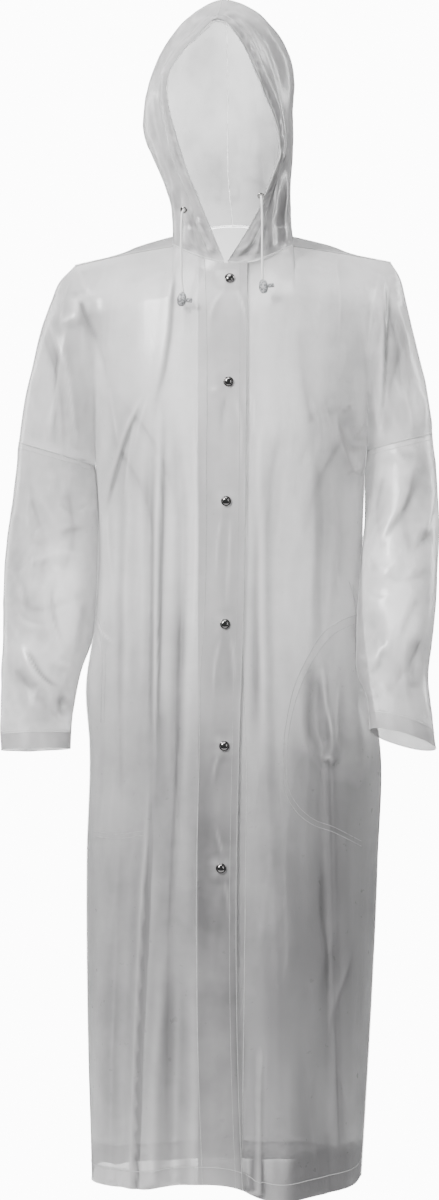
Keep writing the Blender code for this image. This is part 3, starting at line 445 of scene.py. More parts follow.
# each row: kind, width, depth, fade at its start and end, then the points of its
# line in the plane y = 0 as seen from VIEW; "behind" rows are plain x and z
CREASES = dict(
    front=(
        ("fold", 7, 3.8, 0.3, 0.35, (-110, -203.1), (-134.7, -265.8), (-149.9, -315.3), (-163.2, -361)),
        ("ridge", 5, 1.32, 0.3, 0.35, (-153.7, -193.6), (-149.9, -224), (-140.4, -277.3)),
        ("ridge", 7.8, 2.4, 0.3, 0.35, (-213.5, -130.8), (-220.3, -178.3), (-229.8, -239.2), (-236.3, -275.4)),
        ("ridge", 7.8, 1.95, 0.3, 0.35, (-214.6, -130.8), (-207, -193.6), (-196.7, -277.3)),
        ("ridge", 10.4, -3.45, 0.3, 0.35, (-203.2, -62.3), (-182.3, -106.1), (-165.1, -159.3), (-153.7, -208.8)),
        ("ridge", 6.5, -1.8, 0.3, 0.35, (-222.2, -144.1), (-224.9, -208.8), (-225.6, -284.9)),
        ("ridge", 5, 1.43, 0.3, 0.35, (-236.3, -103), (-220.3, -147.9), (-205.9, -180.2)),
        ("ridge", 6.5, 2.1, 0.3, 0.35, (-205.1, -52.8), (-214.6, -87), (-218.4, -132.7)),
        ("soft", 10, 3, 0.3, 0.35, (-201.3, -71.8), (-196.7, -98.4), (-201.3, -122)),
        ("ridge", 5, -1.1, 0.3, 0.35, (-196.7, -75.6), (-178.5, -117.5), (-163.2, -147.9)),
        ("fold", 8, 2.6, 0.3, 0.35, (-70.4, -18.5), (-74.6, -71.8), (-79.5, -132.7), (-91, -193.6), (-102.4, -224)),
        ("ridge", 6.5, 1.65, 0.3, 0.35, (-117.6, -224), (-129, -296.3), (-134.7, -361)),
        ("ridge", 5, 0.99, 0.3, 0.4, (-100.5, -199.3), (-114.5, -246.8), (-123.3, -292.5)),
        ("ridge", 11.7, 3.15, 0.3, 0.35, (200.5, -37.6), (187.5, -94.6), (181.5, -147.9), (179.9, -197.4)),
        ("fold", 8, 4.2, 0.3, 0.35, (202, -43.3), (202, -132.7), (199, -208.8), (192.5, -254.4)),
        ("ridge", 7.8, 1.8, 0.3, 0.35, (140.4, -26.2), (144.9, -94.6), (141.9, -147.9)),
        ("ridge", 10.4, 3.9, 0.3, 0.35, (137.3, -224), (150.6, -277.3), (164.7, -308.5), (179.2, -294.4), (194.4, -267.7)),
        ("soft", 10, -4.6, 0.3, 0.35, (154.4, -224), (165.9, -269.7), (183.7, -260.1)),
        ("soft", 9, 2.2, 0.3, 0.35, (46, -227.8), (38.4, -303.9), (35.4, -368.6)),
        ("ridge", 6.5, 1.5, 0.3, 0.35, (122.1, -208.8), (133.5, -254.4), (137.3, -307.7)),
        ("ridge", 5, 0.99, 0.3, 0.35, (106.9, -205), (118.3, -246.8), (122.1, -292.5)),
        ("ridge", 6.5, 2.55, 0.3, 0.35, (215.3, -75.6), (224.1, -106.1), (233.2, -147.9), (237, -193.6)),
        ("ridge", 6.5, -2.55, 0.3, 0.35, (211.5, -54.7), (209.6, -94.6), (221.8, -147.9), (225.6, -208.8)),
        ("ridge", 5, 1.76, 0.3, 0.35, (229.4, -199.3), (236.2, -227.8), (244.6, -255.2)),
        ("ridge", 5, 1.43, 0.3, 0.35, (239.3, -195.5), (253.4, -210.7), (255.3, -254.4)),
        ("ridge", 5, 1.32, 0.3, 0.35, (207.7, -49), (218, -58.5), (213.4, -75.6)),
        ("ridge", 5, 1.21, 0.3, 0.35, (215.3, -83.2), (225.6, -80.2), (224.1, -94.6)),
        ("ridge", 7.8, 1.95, 0.3, 0.35, (207.7, -140.3), (206.6, -193.6), (207.7, -254.4)),
        ("ridge", 5, 1.1, 0.3, 0.5, (-1.5, -193.6), (-14.9, -199.3), (-30.1, -203.1)),
        ("ridge", 5, 1.21, 0.3, 0.6, (8, -199.3), (16.3, -243), (13.7, -322.9)),
        ("ridge", 5, -0.99, 0.3, 0.6, (-1.5, -201.2), (-7.2, -231.6), (-10.3, -277.3)),
        ("ridge", 5, 0.99, 0.3, 0.6, (30, -193.6), (33.8, -224), (31.6, -284.9)),
        ("ridge", 3.75, 0.88, 0.3, 0.6, (-3.4, -66.1), (-20.6, -94.6), (-25.5, -140.3)),
        ("ridge", 3.75, 0.88, 0.3, 0.6, (8, -64.2), (19.4, -90.8), (25.5, -140.3)),
        ("ridge", 5, 1.1, 0.3, 0.5, (-6.5, -352.1), (-13, -394), (-15.6, -458.6)),
        ("ridge", 5, 1.21, 0.3, 0.35, (4.2, -354), (1.5, -413), (-2.7, -496.7)),
        ("ridge", 3.75, 0.825, 0.3, 0.5, (-7.2, -511.9), (-16.8, -557.6), (-19.4, -610.8)),
        ("ridge", 5, 0.99, 0.3, 0.5, (2.3, -511.9), (8, -557.6), (8.7, -610.8)),
        ("ridge", 3.75, 0.825, 0.3, 0.5, (-10.3, -667.9), (-18.7, -698.3), (-20.2, -725)),
        ("ridge", 5, 1.1, 0.5, 0.35, (-18.4, -759.5), (-10.4, -792.2), (-4.9, -814.1)),
        ("ridge", 3.75, 0.88, 0.3, 0.6, (-6, -830.4), (0.5, -872.3), (1.2, -912.3)),
        ("soft", 9, 3.4, 0.35, 0.5, (-126.1, -247), (-128.7, -344.5), (-131.3, -422.5), (-132.6, -539.5), (-135.2, -682.5)),
        ("soft", 7, -4, 0.3, 0.45, (-97.5, -221), (-101.4, -344.5), (-100.1, -422.5), (-101.4, -526.5), (-102.7, -708.5)),
        ("fold", 8, 4.4, 0.3, 0.5, (-87.1, -204.1), (-88.4, -344.5), (-91, -435.5), (-93.6, -552.5), (-98.8, -760.5)),
        ("soft", 8, -3.8, 0.3, 0.5, (-70.2, -201.5), (-63.7, -305.5), (-59.8, -370.5), (-61.1, -474.5), (-65, -604.5), (-67.6, -760.5)),
        ("ridge", 9.1, 2.4, 0.3, 0.5, (-45.5, -195), (-41.6, -305.5), (-40.3, -383.5), (-42.9, -474.5), (-46.8, -578.5)),
        ("soft", 11, 2.2, 0.35, 0.4, (97.5, -193.7), (106.6, -279.5), (110.5, -370.5), (107.9, -474.5), (109.2, -604.5)),
        ("soft", 10, -2.2, 0.35, 0.4, (84.5, -201.5), (65, -280.8), (57.2, -370.5), (54.6, -474.5), (52, -630.5)),
        ("soft", 9, 3, 0.4, 0.4, (75.4, -214.5), (46.8, -305.5), (44.2, -422.5), (46.8, -604.5), (49.4, -734.5)),
        ("soft", 8, -2.8, 0.4, 0.4, (40.3, -305.5), (35.1, -419.9), (35.1, -552.5), (33.8, -708.5)),
        ("ridge", 7.8, 1.8, 0.4, 0.5, (132.6, -305.5), (143, -396.5), (137.8, -474.5)),
        ("soft", 9, -3, 0.35, 0.4, (122.2, -266.5), (127.4, -370.5), (124.8, -474.5), (132.6, -578.5)),
        ("ridge", 6.5, 1.5, 0.3, 0.5, (-157.5, -344.5), (-154.9, -405.4), (-149.9, -470.1)),
        ("tuck", 7, 5.2, 0.35, 0.02, (-105.8, -708.5), (-106.1, -799.5), (-110.1, -897.8), (-114.5, -999.7), (-118.9, -1127.1), (-123.2, -1247.2)),
        ("soft", 13, 4.2, 0.4, 0.05, (-86.1, -890.5), (-89, -999.7), (-97, -1127.1), (-99.6, -1247.2)),
        ("soft", 12, -4, 0.4, 0.05, (-64.3, -897.8), (-66.8, -999.7), (-70.5, -1127.1), (-71.6, -1247.2)),
        ("soft", 12, 3.6, 0.4, 0.05, (-47.5, -934.2), (-46.1, -1036.1), (-46.8, -1127.1), (-47.5, -1247.2)),
        ("soft", 10, -3.2, 0.4, 0.05, (-145.1, -883.2), (-150.5, -999.7), (-154.2, -1127.1), (-156, -1247.2)),
        ("soft", 11, 3.4, 0.4, 0.05, (-164, -861.4), (-168.4, -999.7), (-169.8, -1127.1), (-169.1, -1247.2)),
        ("soft", 9, -3.4, 0.4, 0.02, (26, -985.1), (28.2, -1090.7), (28.9, -1247.2)),
        ("fold", 9, 5, 0.4, 0.02, (42.7, -1036.1), (41.3, -1127.1), (40.6, -1250.9)),
        ("soft", 12, 3.6, 0.3, 0.35, (62.4, -912.3), (64.6, -999.7), (66.8, -1127.1)),
        ("ridge", 10.4, -3.6, 0.3, 0.35, (87.2, -1036.1), (103.2, -1108.9), (114.1, -1174.4), (117, -1247.2)),
        ("soft", 11, 4.4, 0.3, 0.35, (126.5, -883.2), (120.6, -948.7), (117, -1021.5), (127.9, -1116.2)),
        ("ridge", 6.5, 1.95, 0.3, 0.35, (121.4, -795.9), (117.7, -861.4), (121.4, -912.3), (118.8, -999.7)),
        ("ridge", 10.4, 3.45, 0.3, 0.35, (168.7, -912.3), (151.6, -963.3), (134.5, -1014.3), (129.7, -1057.9)),
        ("ridge", 9.1, -3.15, 0.3, 0.35, (137, -1065.2), (151.6, -1119.8), (160, -1167.1), (161.4, -1232.7)),
        ("soft", 9, 3.6, 0.3, 0.05, (127.9, -1152.6), (125, -1199.9), (123.6, -1250.9)),
        ("ridge", 6.5, 1.8, 0.3, 0.35, (130.8, -912.3), (135.2, -956), (132.3, -985.1)),
        ("soft", 9, -3.4, 0.3, 0.35, (107.7, -549.9), (112.6, -588), (110.7, -626), (116.4, -686.9)),
        ("ridge", 7.8, 2.4, 0.3, 0.35, (121.3, -546.1), (125.9, -603.2), (134.3, -648.9), (138.1, -683.1)),
        ("ridge", 6.5, 1.65, 0.3, 0.35, (145.7, -569), (141.1, -618.4), (144.9, -679.3)),
        ("ridge", 6.5, 1.95, 0.3, 0.35, (120.2, -685), (129.7, -679.3), (141.1, -688.8)),
        ("ridge", 6.5, 1.5, 0.3, 0.35, (141.1, -367.3), (139.2, -420.6), (144.9, -470.1)),
        ("ridge", 5, 1.21, 0.3, 0.4, (-171.6, -494.8), (-163.2, -515.7), (-147.3, -534.7)),
        ("ridge", 5, 0.99, 0.3, 0.4, (-173.9, -504.3), (-165.1, -534.7), (-162.5, -580.4)),
    ),
    arm_right=(
        ("fold", 8.75, 1.3, 0.4, 0.45, (-226, -296.4), (-226.6, -319.3), (-224.9, -345)),
        ("fold", 7, 1, 0.4, 0.45, (-223.5, -346.4), (-213.5, -359.3), (-201.4, -368.5)),
        ("fold", 7, 1, 0.4, 0.45, (-197.7, -363.6), (-186.3, -356.5), (-178.6, -346.4)),
        ("fold", 7, 1.1, 0.4, 0.45, (-176.9, -336.4), (-170.6, -350.7), (-166.3, -365)),
        ("fold", 15.75, 2.2, 0.4, 0.45, (-264.4, -413.7), (-259.8, -425.1), (-242.1, -422.2), (-221.5, -417.1), (-202, -415.4), (-182, -419.4)),
        ("soft", 12.25, -3, 0.4, 0.45, (-264.4, -428.5), (-256.4, -436), (-242.1, -430.8), (-221.5, -431.4), (-207.7, -426.8), (-190, -426.8)),
        ("fold", 10, 3.3, 0.4, 0.45, (-223.5, -436.5), (-232.9, -459.4), (-232.9, -488), (-226, -519.5), (-214.9, -550.9)),
        ("fold", 12.25, 2.1, 0.4, 0.45, (-188.3, -465.1), (-195.7, -490.9), (-199.2, -519.5), (-203.5, -552.4)),
        ("fold", 12.25, 1.8, 0.4, 0.45, (-179.1, -375), (-196.3, -377.1), (-214.9, -382.8), (-227.8, -399.4)),
        ("fold", 10.5, 1.6, 0.4, 0.45, (-275.8, -440.8), (-268.4, -466.6), (-264.4, -493.7)),
        ("fold", 8.75, 3.45, 0.4, 0.45, (-277.5, -528.1), (-261.5, -548.1), (-249.2, -571), (-234.9, -585.3), (-210.6, -593.3)),
        ("soft", 8.75, -1.8, 0.4, 0.45, (-237.8, -561.8), (-223.5, -565.8), (-208.3, -574.4)),
        ("fold", 8.75, 1.7, 0.4, 0.45, (-221.5, -550.9), (-210.6, -558.9), (-197.7, -557.2)),
        ("fold", 12.25, 2.6, 0.4, 0.45, (-204.3, -591), (-221.5, -601), (-221.5, -616.7), (-212.9, -638.2)),
        ("soft", 10, -4.875, 0.4, 0.45, (-204.3, -599.6), (-211.7, -609.6), (-207.2, -631)),
        ("soft", 15, 2.7, 0.4, 0.45, (-250.6, -582.4), (-246.4, -608.1), (-247.8, -633.9)),
        ("soft", 15, -2.25, 0.4, 0.45, (-272.1, -553.8), (-273.5, -591), (-271.8, -631)),
        ("fold", 8.75, 1.1, 0.4, 0.45, (-253.5, -402.2), (-249.2, -387.9), (-236.3, -376.5)),
        ("fold", 8.75, 1, 0.4, 0.45, (-279.2, -476.6), (-262.1, -505.2), (-230.6, -510.9)),
        ("soft", 8.75, -1.2, 0.4, 0.45, (-250.6, -453.7), (-253.5, -482.3), (-246.4, -510.9)),
        ("fold", 8.75, 1.1, 0.4, 0.45, (-259.2, -322.1), (-262.1, -362.2), (-257.8, -396.5)),
    ),
    arm_left=(
        ("fold", 7, 1.6, 0.4, 0.45, (214.1, -271.5), (221.3, -285.9), (232.1, -299.4)),
        ("fold", 7, 1.4, 0.4, 0.45, (213.2, -265.6), (235.7, -276), (254.7, -264.3)),
        ("soft", 8.75, -1.5, 0.4, 0.45, (221.3, -276.9), (235.7, -286.8), (248.4, -279.6)),
        ("fold", 12.25, 3, 0.4, 0.45, (239.3, -294.9), (236.6, -322), (228.5, -345.4), (205.1, -382.8), (180.8, -423.4)),
        ("soft", 14, -2.75, 0.4, 0.45, (258.3, -285.9), (252, -331), (241.1, -367), (230.3, -394.1)),
        ("fold", 10.5, 2.1, 0.4, 0.45, (269.1, -322), (263.7, -358), (253.8, -389.6), (231.2, -414.4)),
        ("soft", 8.75, -2, 0.4, 0.45, (272.7, -393.2), (259.2, -395.9), (245.6, -403.1)),
        ("fold", 14, 2.4, 0.4, 0.45, (248.4, -450.4), (233.9, -484.2), (221.3, -515.8), (213.2, -556.3)),
        ("soft", 12.5, 2.55, 0.4, 0.45, (222.2, -412.1), (208.7, -439.1), (195.2, -461.7)),
        ("fold", 7, 1, 0.4, 0.45, (194.3, -541.9), (203.3, -534.7), (213.2, -532)),
        ("soft", 13.75, -4.5, 0.4, 0.45, (182.6, -484.2), (185.3, -520.3), (181.7, -554.1)),
        ("fold", 10.5, 2, 0.4, 0.45, (191.6, -515.8), (196.1, -542.8), (185.3, -564.4), (171.7, -570.7)),
        ("fold", 10.5, 1.8, 0.4, 0.45, (177.1, -575.2), (188.9, -587.9), (195.2, -608.1)),
        ("soft", 13.75, 2.7, 0.4, 0.45, (231.2, -538.3), (228.5, -574.3), (226.7, -608.1)),
        ("soft", 12.5, -2.55, 0.4, 0.45, (245.6, -511.2), (247.5, -560.8), (246.5, -605.9)),
        ("fold", 10.5, 1.5, 0.4, 0.45, (187.1, -427.9), (208.7, -434.6), (224.9, -425.6)),
        ("fold", 8.75, 1.1, 0.4, 0.45, (199.7, -294.9), (194.3, -331), (185.3, -367)),
        ("fold", 8.75, 1.2, 0.4, 0.45, (172.6, -457.2), (195.2, -475.2), (222.2, -466.2)),
    ),
    hood=(
        ("fold", 5.75, 1.87, 0.05, 0.1, (-1.5, 283.4), (22.4, 256), (33.1, 227.5), (41.5, 195.2), (47.9, 168.5), (59.3, 138.1), (68.1, 118.3)),
        ("ridge", 4.6, 1.54, 0.1, 0.2, (8, 285.7), (30.8, 256), (39.9, 233.2), (44.5, 202.8), (50.6, 179.9)),
        ("ridge", 5.75, 1.54, 0.1, 0.2, (15.6, 284.6), (43, 248.4), (59.3, 206.6), (66.9, 172.3), (70.7, 141.9)),
        ("ridge", 5.75, -1.43, 0.1, 0.3, (21.3, 281.9), (51.7, 248.4), (66.9, 206.6), (71.9, 168.5)),
        ("ridge", 5.75, 1.43, 0.1, 0.2, (27, 287.2), (57.4, 256), (76.5, 214.2), (78.4, 153.3)),
        ("ridge", 4.6, 1.43, 0.2, 0.2, (0.4, 281.9), (12.5, 273.5), (21.7, 260.6), (23.9, 244.6)),
        ("ridge", 4.6, -1.21, 0.2, 0.2, (8, 275.1), (16.3, 264.4), (17.1, 251.5), (25.5, 233.2)),
        ("ridge", 3.45, 1.1, 0.2, 0.2, (27, 237), (34.6, 238.9), (36.9, 221.8)),
        ("ridge", 3.45, 1.1, 0.2, 0.2, (29.3, 217.2), (38.4, 214.2), (39.9, 195.2)),
        ("fold", 6.9, 2.09, 0.1, 0.15, (68.8, 115.3), (59.7, 92.4), (44.1, 63.9), (35.4, 43)),
        ("ridge", 6.9, 1.76, 0.1, 0.15, (71.1, 111.5), (63.1, 77.2), (55.5, 39.2), (47.9, 4.9)),
        ("ridge", 5.75, -1.65, 0.15, 0.15, (71.9, 100.1), (67.3, 62), (61.2, 24), (55.5, 1.1)),
        ("ridge", 5.75, 1.65, 0.1, 0.15, (74.9, 109.6), (75.7, 62), (71.1, 8.7)),
        ("ridge", 4.6, -1.32, 0.2, 0.2, (63.5, 100.1), (51.7, 65.8), (46, 39.2)),
        ("ridge", 5.75, 1.54, 0.15, 0.15, (-97, 195.2), (-94.8, 153.3), (-82.6, 103.9), (-71.2, 69.6), (-65.8, 43)),
        ("ridge", 5.75, -1.32, 0.15, 0.15, (-87.9, 214.2), (-87.9, 168.5), (-79.5, 115.3), (-65.8, 73.4)),
        ("ridge", 4.6, 1.21, 0.2, 0.2, (-104.3, 183.8), (-101.6, 141.9), (-89, 96.2), (-73.8, 62)),
        ("ridge", 5.75, 1.65, 0.2, 0.1, (-52.1, 14.4), (-48.3, -2.7), (-40.7, -17.9)),
        ("ridge", 5.75, -1.43, 0.2, 0.1, (-47.2, 22.1), (-33.9, -2.7), (-28.2, -18.7)),
        ("ridge", 5.75, 1.65, 0.2, 0.1, (-42.3, 24), (-29.3, 1.1), (-18.7, -21.7)),
        ("ridge", 5.75, 1.43, 0.2, 0.1, (-61.3, 39.2), (-59, 8.7), (-55.9, -17.9)),
        ("ridge", 4.6, 1.1, 0.2, 0.2, (-49.1, 277.3), (-30.1, 281.9), (-13, 282.7)),
        ("ridge", 4.6, 1.32, 0.2, 0.2, (-71.9, 240.8), (-49.1, 256.8), (-22.5, 273.5)),
        ("ridge", 5.75, 1.21, 0.2, 0.3, (-30.1, 297.1), (-52.9, 278.9), (-71.9, 248.4), (-83.3, 225.6)),
        ("ridge", 5.75, 1.21, 0.2, 0.3, (4.2, 299.4), (30.8, 290.3), (57.4, 263.6)),
        ("ridge", 4.6, 0.99, 0.2, 0.3, (-9.2, 286.5), (4.2, 290.3), (27, 278.1)),
        ("ridge", 4.6, 1.21, 0.2, 0.2, (8, -21.7), (23.2, -13.3), (35.4, 1.1)),
        ("ridge", 4.6, -1.1, 0.2, 0.2, (12.5, -29.3), (29.3, -17.9), (39.9, -6.5)),
        ("ridge", 4.6, 1.21, 0.2, 0.2, (17.1, -35), (33.1, -24.7), (45.3, -13.3)),
        ("ridge", 5.175, 2.2, 0.12, 0.45, (-70.2, -16.9), (-66.3, 14.3), (-71.5, 48.1), (-75.4, 71.5)),
        ("ridge", 4.6, -1.87, 0.12, 0.45, (-61.1, -18.2), (-58.5, 16.9), (-62.4, 50.7)),
        ("ridge", 5.175, 2.31, 0.12, 0.45, (-52, -20.8), (-53.3, 16.9), (-62.4, 68.9)),
        ("ridge", 4.6, -1.98, 0.12, 0.45, (-41.6, -22.1), (-46.8, 9.1), (-54.6, 45.5)),
        ("ridge", 5.175, 2.2, 0.12, 0.45, (-32.5, -24.7), (-42.9, 11.7), (-50.7, 53.3)),
        ("ridge", 4.6, 1.87, 0.12, 0.45, (-20.8, -29.9), (-32.5, -1.3), (-42.9, 35.1)),
        ("ridge", 4.6, 2.2, 0.12, 0.45, (75.4, -15.6), (71.5, 16.9), (75.4, 58.5), (78, 84.5)),
        ("ridge", 4.6, -1.87, 0.12, 0.45, (66.3, -16.9), (65, 16.9), (70.2, 55.9)),
        ("ridge", 5.175, 2.31, 0.12, 0.45, (55.9, -19.5), (55.9, 14.3), (62.4, 53.3), (70.2, 84.5)),
        ("ridge", 4.6, -1.87, 0.12, 0.45, (44.2, -24.7), (48.1, 6.5), (55.9, 40.3)),
        ("ridge", 4.6, 2.09, 0.12, 0.45, (33.8, -29.9), (41.6, -1.3), (49.4, 29.9)),
        ("ridge", 4.025, 2.09, 0.12, 0.45, (5.2, -35.1), (19.5, -19.5), (36.4, -6.5)),
        ("ridge", 4.025, 1.87, 0.12, 0.45, (2.6, -27.3), (15.6, -10.4), (28.6, -1.3)),
        ("ridge", 3.45, -1.87, 0.12, 0.45, (10.4, -40.3), (26, -27.3), (39, -19.5)),
    ),
    back_behind=(
        ("ridge", 9, 4.2, 0.2, 0.1, (-128, -330), (-140, -520), (-138, -760), (-150, -1215)),
        ("soft", 14, -5, 0.2, 0.05, (-96, -250), (-104, -500), (-110, -800), (-112, -1222)),
        ("fold", 10, 5, 0.25, 0.02, (-62, -360), (-66, -640), (-78, -900), (-82, -1225)),
        ("soft", 13, -4.4, 0.3, 0.05, (-30, -480), (-34, -760), (-40, -1222)),
        ("soft", 14, 4.2, 0.35, 0.05, (12, -560), (10, -820), (6, -1222)),
        ("ridge", 8, -4.2, 0.3, 0.03, (44, -420), (50, -700), (62, -960), (64, -1222)),
        ("soft", 13, 4.6, 0.2, 0.05, (82, -300), (90, -560), (98, -860), (104, -1222)),
        ("tuck", 8, 4.6, 0.3, 0.02, (128, -520), (134, -800), (146, -1222)),
        ("ridge", 6, 3.4, 0.2, 0.3, (-150, -262), (-112, -330), (-92, -420)),
        ("ridge", 6, 3.2, 0.2, 0.3, (156, -250), (118, -318), (96, -410)),
        ("ridge", 5, 2.6, 0.2, 0.3, (-140, -210), (-100, -262), (-66, -340)),
        ("ridge", 5, -2.6, 0.2, 0.3, (150, -200), (108, -250), (70, -330)),
        ("ridge", 6, 2.6, 0.25, 0.25, (-84, -96), (-88, -180), (-104, -260)),
        ("ridge", 6, 2.6, 0.25, 0.25, (94, -92), (100, -190), (120, -270)),
        ("soft", 10, 2.6, 0.3, 0.3, (-20, -90), (-26, -220), (-18, -360)),
        ("soft", 10, -2.4, 0.3, 0.3, (26, -110), (22, -240), (34, -380)),
        ("ridge", 5, 3, 0.2, 0.2, (-246, -110), (-222, -190), (-214, -280)),
        ("ridge", 5, -2.8, 0.2, 0.2, (-216, -96), (-196, -190), (-190, -285)),
        ("ridge", 5, 3, 0.2, 0.2, (236, -110), (214, -190), (206, -270)),
        ("ridge", 5, 2.4, 0.2, 0.2, (206, -90), (190, -170), (196, -262)),
    ),
    arm_right_behind=(
        ("ridge", 8, 4.6, 0.2, 0.2, (-282, -470), (-250, -486), (-214, -476), (-184, -462)),
        ("ridge", 7, -5, 0.2, 0.2, (-284, -498), (-246, -512), (-206, -500), (-182, -486)),
        ("ridge", 6, 3.6, 0.2, 0.2, (-260, -330), (-244, -400), (-246, -460)),
        ("ridge", 6, 3.2, 0.2, 0.2, (-214, -320), (-206, -390), (-222, -456)),
        ("fold", 7, 4, 0.2, 0.2, (-280, -560), (-250, -600), (-222, -630)),
        ("soft", 10, 3.2, 0.2, 0.2, (-262, -600), (-258, -650), (-264, -690)),
        ("ridge", 6, -3, 0.2, 0.2, (-230, -560), (-236, -620), (-228, -680)),
    ),
    arm_left_behind=(
        ("ridge", 8, 4.6, 0.2, 0.2, (262, -430), (236, -446), (206, -440), (182, -420)),
        ("ridge", 7, -5, 0.2, 0.2, (264, -458), (236, -474), (204, -466), (180, -448)),
        ("ridge", 6, 3.6, 0.2, 0.2, (246, -300), (230, -360), (238, -420)),
        ("ridge", 6, 3.2, 0.2, 0.2, (204, -300), (198, -370), (212, -420)),
        ("fold", 7, 4, 0.2, 0.2, (250, -520), (226, -566), (204, -600)),
        ("soft", 10, 3.2, 0.2, 0.2, (240, -570), (236, -620), (240, -650)),
        ("ridge", 6, -3, 0.2, 0.2, (206, -520), (214, -580), (208, -640)),
    ),
    hood_behind=(
        ("ridge", 7.8, 1.17, 0.2, 0.2, (-50, 210), (-58, 130), (-56, 60), (-40, 20)),
        ("ridge", 7.8, -1.08, 0.2, 0.2, (-30, 230), (-36, 150), (-34, 60), (-22, 24)),
        ("ridge", 7.8, 1.17, 0.2, 0.2, (30, 226), (40, 150), (46, 70), (36, 24)),
        ("ridge", 7.8, 1.08, 0.2, 0.2, (56, 180), (62, 110), (60, 40)),
        ("ridge", 6.5, -0.99, 0.2, 0.2, (12, 180), (18, 100), (14, 30)),
        ("ridge", 6.5, 0.99, 0.2, 0.2, (-12, 120), (-8, 70), (-14, 24)),
        ("ridge", 6.5, 1.08, 0.2, 0.2, (-66, 160), (-70, 100), (-66, 40)),
    ),
)


def crumple(p, n, group):
    """Fine uneven crumpling, stretched along the way the film hangs."""
    x, y, z = p[:, 0], p[:, 1], p[:, 2]
    out = np.zeros(len(p))
    if group in ("front", "back"):
        low = step((-250 - z) / 500.0)
        q = np.stack([x / 44, y / 60, z / 330], -1)
        out += (1.4 + 1.6 * low) * noise(q + 7.3, 11)
        q = np.stack([(x + 0.05 * z) / 23, y / 40, z / 210], -1)
        out += (0.45 + 0.35 * low) * noise(q + 3.1, 12)
        q = np.stack([(x - 0.12 * z) / 19, y / 30, z / 130], -1)
        out += 0.28 * creased(q + 9.7, 13, 0.3)
        q = p / np.array([30.0, 34.0, 44.0])
        out += 0.5 * noise(q + 1.7, 14)
        arm_zone = step((np.abs(x - 5) - 150) / 40) * step((z + 330) / 80)
        q = np.stack([(x + 0.35 * z) / 24, y / 26, (z - 0.35 * x) / 60], -1)
        out += arm_zone * 0.7 * creased(q + 2.2, 15, 0.25)
    elif group.startswith("arm"):
        q = np.stack([x / 36, y / 36, z / 90], -1)
        out += 1.7 * noise(q + 5.5, 21)
        q = np.stack([(x + 0.5 * z) / 30, y / 34, (z - 0.5 * x) / 74], -1)
        out += 0.6 * creased(q + 2.2, 22, 0.3)
        q = np.stack([(x - 0.6 * z) / 24, y / 28, (z + 0.6 * x) / 52], -1)
        out += 0.35 * creased(q + 4.9, 23, 0.3)
        out += 0.25 * noise(p / 12.0 + 8.8, 24)
    elif group == "hood":
        q = p / np.array([26.0, 30.0, 34.0])
        out += 1.3 * noise(q + 6.1, 31)
        out += 0.45 * creased(p / np.array([17.0, 20.0, 30.0]) + 2.7, 32, 0.25)
        out += 0.22 * noise(p / 9.0 + 4.4, 33)
    return out


def form_moves(p, n, group, hold):
    """How far out of the form each point lies: creases, then crumpling."""
    q = seen(p)
    facing_front = step((-n[:, 1] - 0.02) / 0.45)
    out = crease_field(q, CREASES.get(group, ())) * facing_front
    plain = p[:, [0, 2]]
    facing_back = step((n[:, 1] - 0.02) / 0.45)
    out += crease_field(plain, CREASES.get(group + "_behind", ())) * facing_back
    side = p[:, [1, 2]]
    for tag, sgn in (("_right", -1), ("_left", 1)):
        rows = CREASES.get(group + tag + "side", ())
        if rows:
            out += crease_field(side, rows) * step((sgn * n[:, 0] - 0.1) / 0.5)
    out += crumple(p, n, group)
    return out * hold


# painted highlights (amount below zero) and painted shade (amount above zero) on the film, which is a little clearer
# or denser with them: middle, reach and amount, as seen
PAINTED_HIGHLIGHTS_AND_SHADE = dict(
    arm_right=(
        (-213.2, -474.5, 26, 85.8, -1.1),
        (-228.8, -416, 28.6, 31.2, -0.5),
        (-278.2, -422.5, 15.6, 143, 0.35),
        (-182, -305.5, 26, 39, 0.25),
        (-237.9, -591.5, 31.2, 26, 0.3),
        (-210.6, -624, 15.6, 33.8, -0.5),
        (-257.4, -318.5, 26, 52, 0.1),
    ),
    arm_left=(
        (221, -474.5, 31.2, 72.8, -1.1),
        (204.1, -422.5, 23.4, 52, -0.5),
        (254.8, -552.5, 15.6, 78, 0.4),
        (249.6, -318.5, 18.2, 52, 0.3),
        (191.1, -344.5, 18.2, 52, 0.1),
        (187.2, -591.5, 26, 33.8, -0.35),
        (217.1, -305.5, 26, 23.4, -0.3),
    ),
    front=(
        (244.4, -224.9, 13, 33.8, -1.1),
        (-218.4, -123.5, 20.8, 78, 0.35),
        (-101.4, -84.5, 52, 39, -0.2),
        (132.6, -279.5, 33.8, 143, 0.35),
        (152.1, -422.5, 26, 78, 0.3),
        (-140.4, -240.5, 26, 78, 0.15),
        (-49.4, -422.5, 33.8, 195, -0.25),
        (-169, -169, 15.6, 52, -0.3),
        (-36.4, -604.5, 20.8, 143, -0.25),
        (80.6, -474.5, 33.8, 104, -0.1),
    ),
    hood=(
        (-75.4, 149.5, 20.8, 91, -0.1),
        (44.2, 227.5, 15.6, 52, -0.3),
        (57.2, 110.5, 20.8, 91, 0.35),
        (-36.4, 6.5, 20.8, 20.8, 0.2),
    ),
)


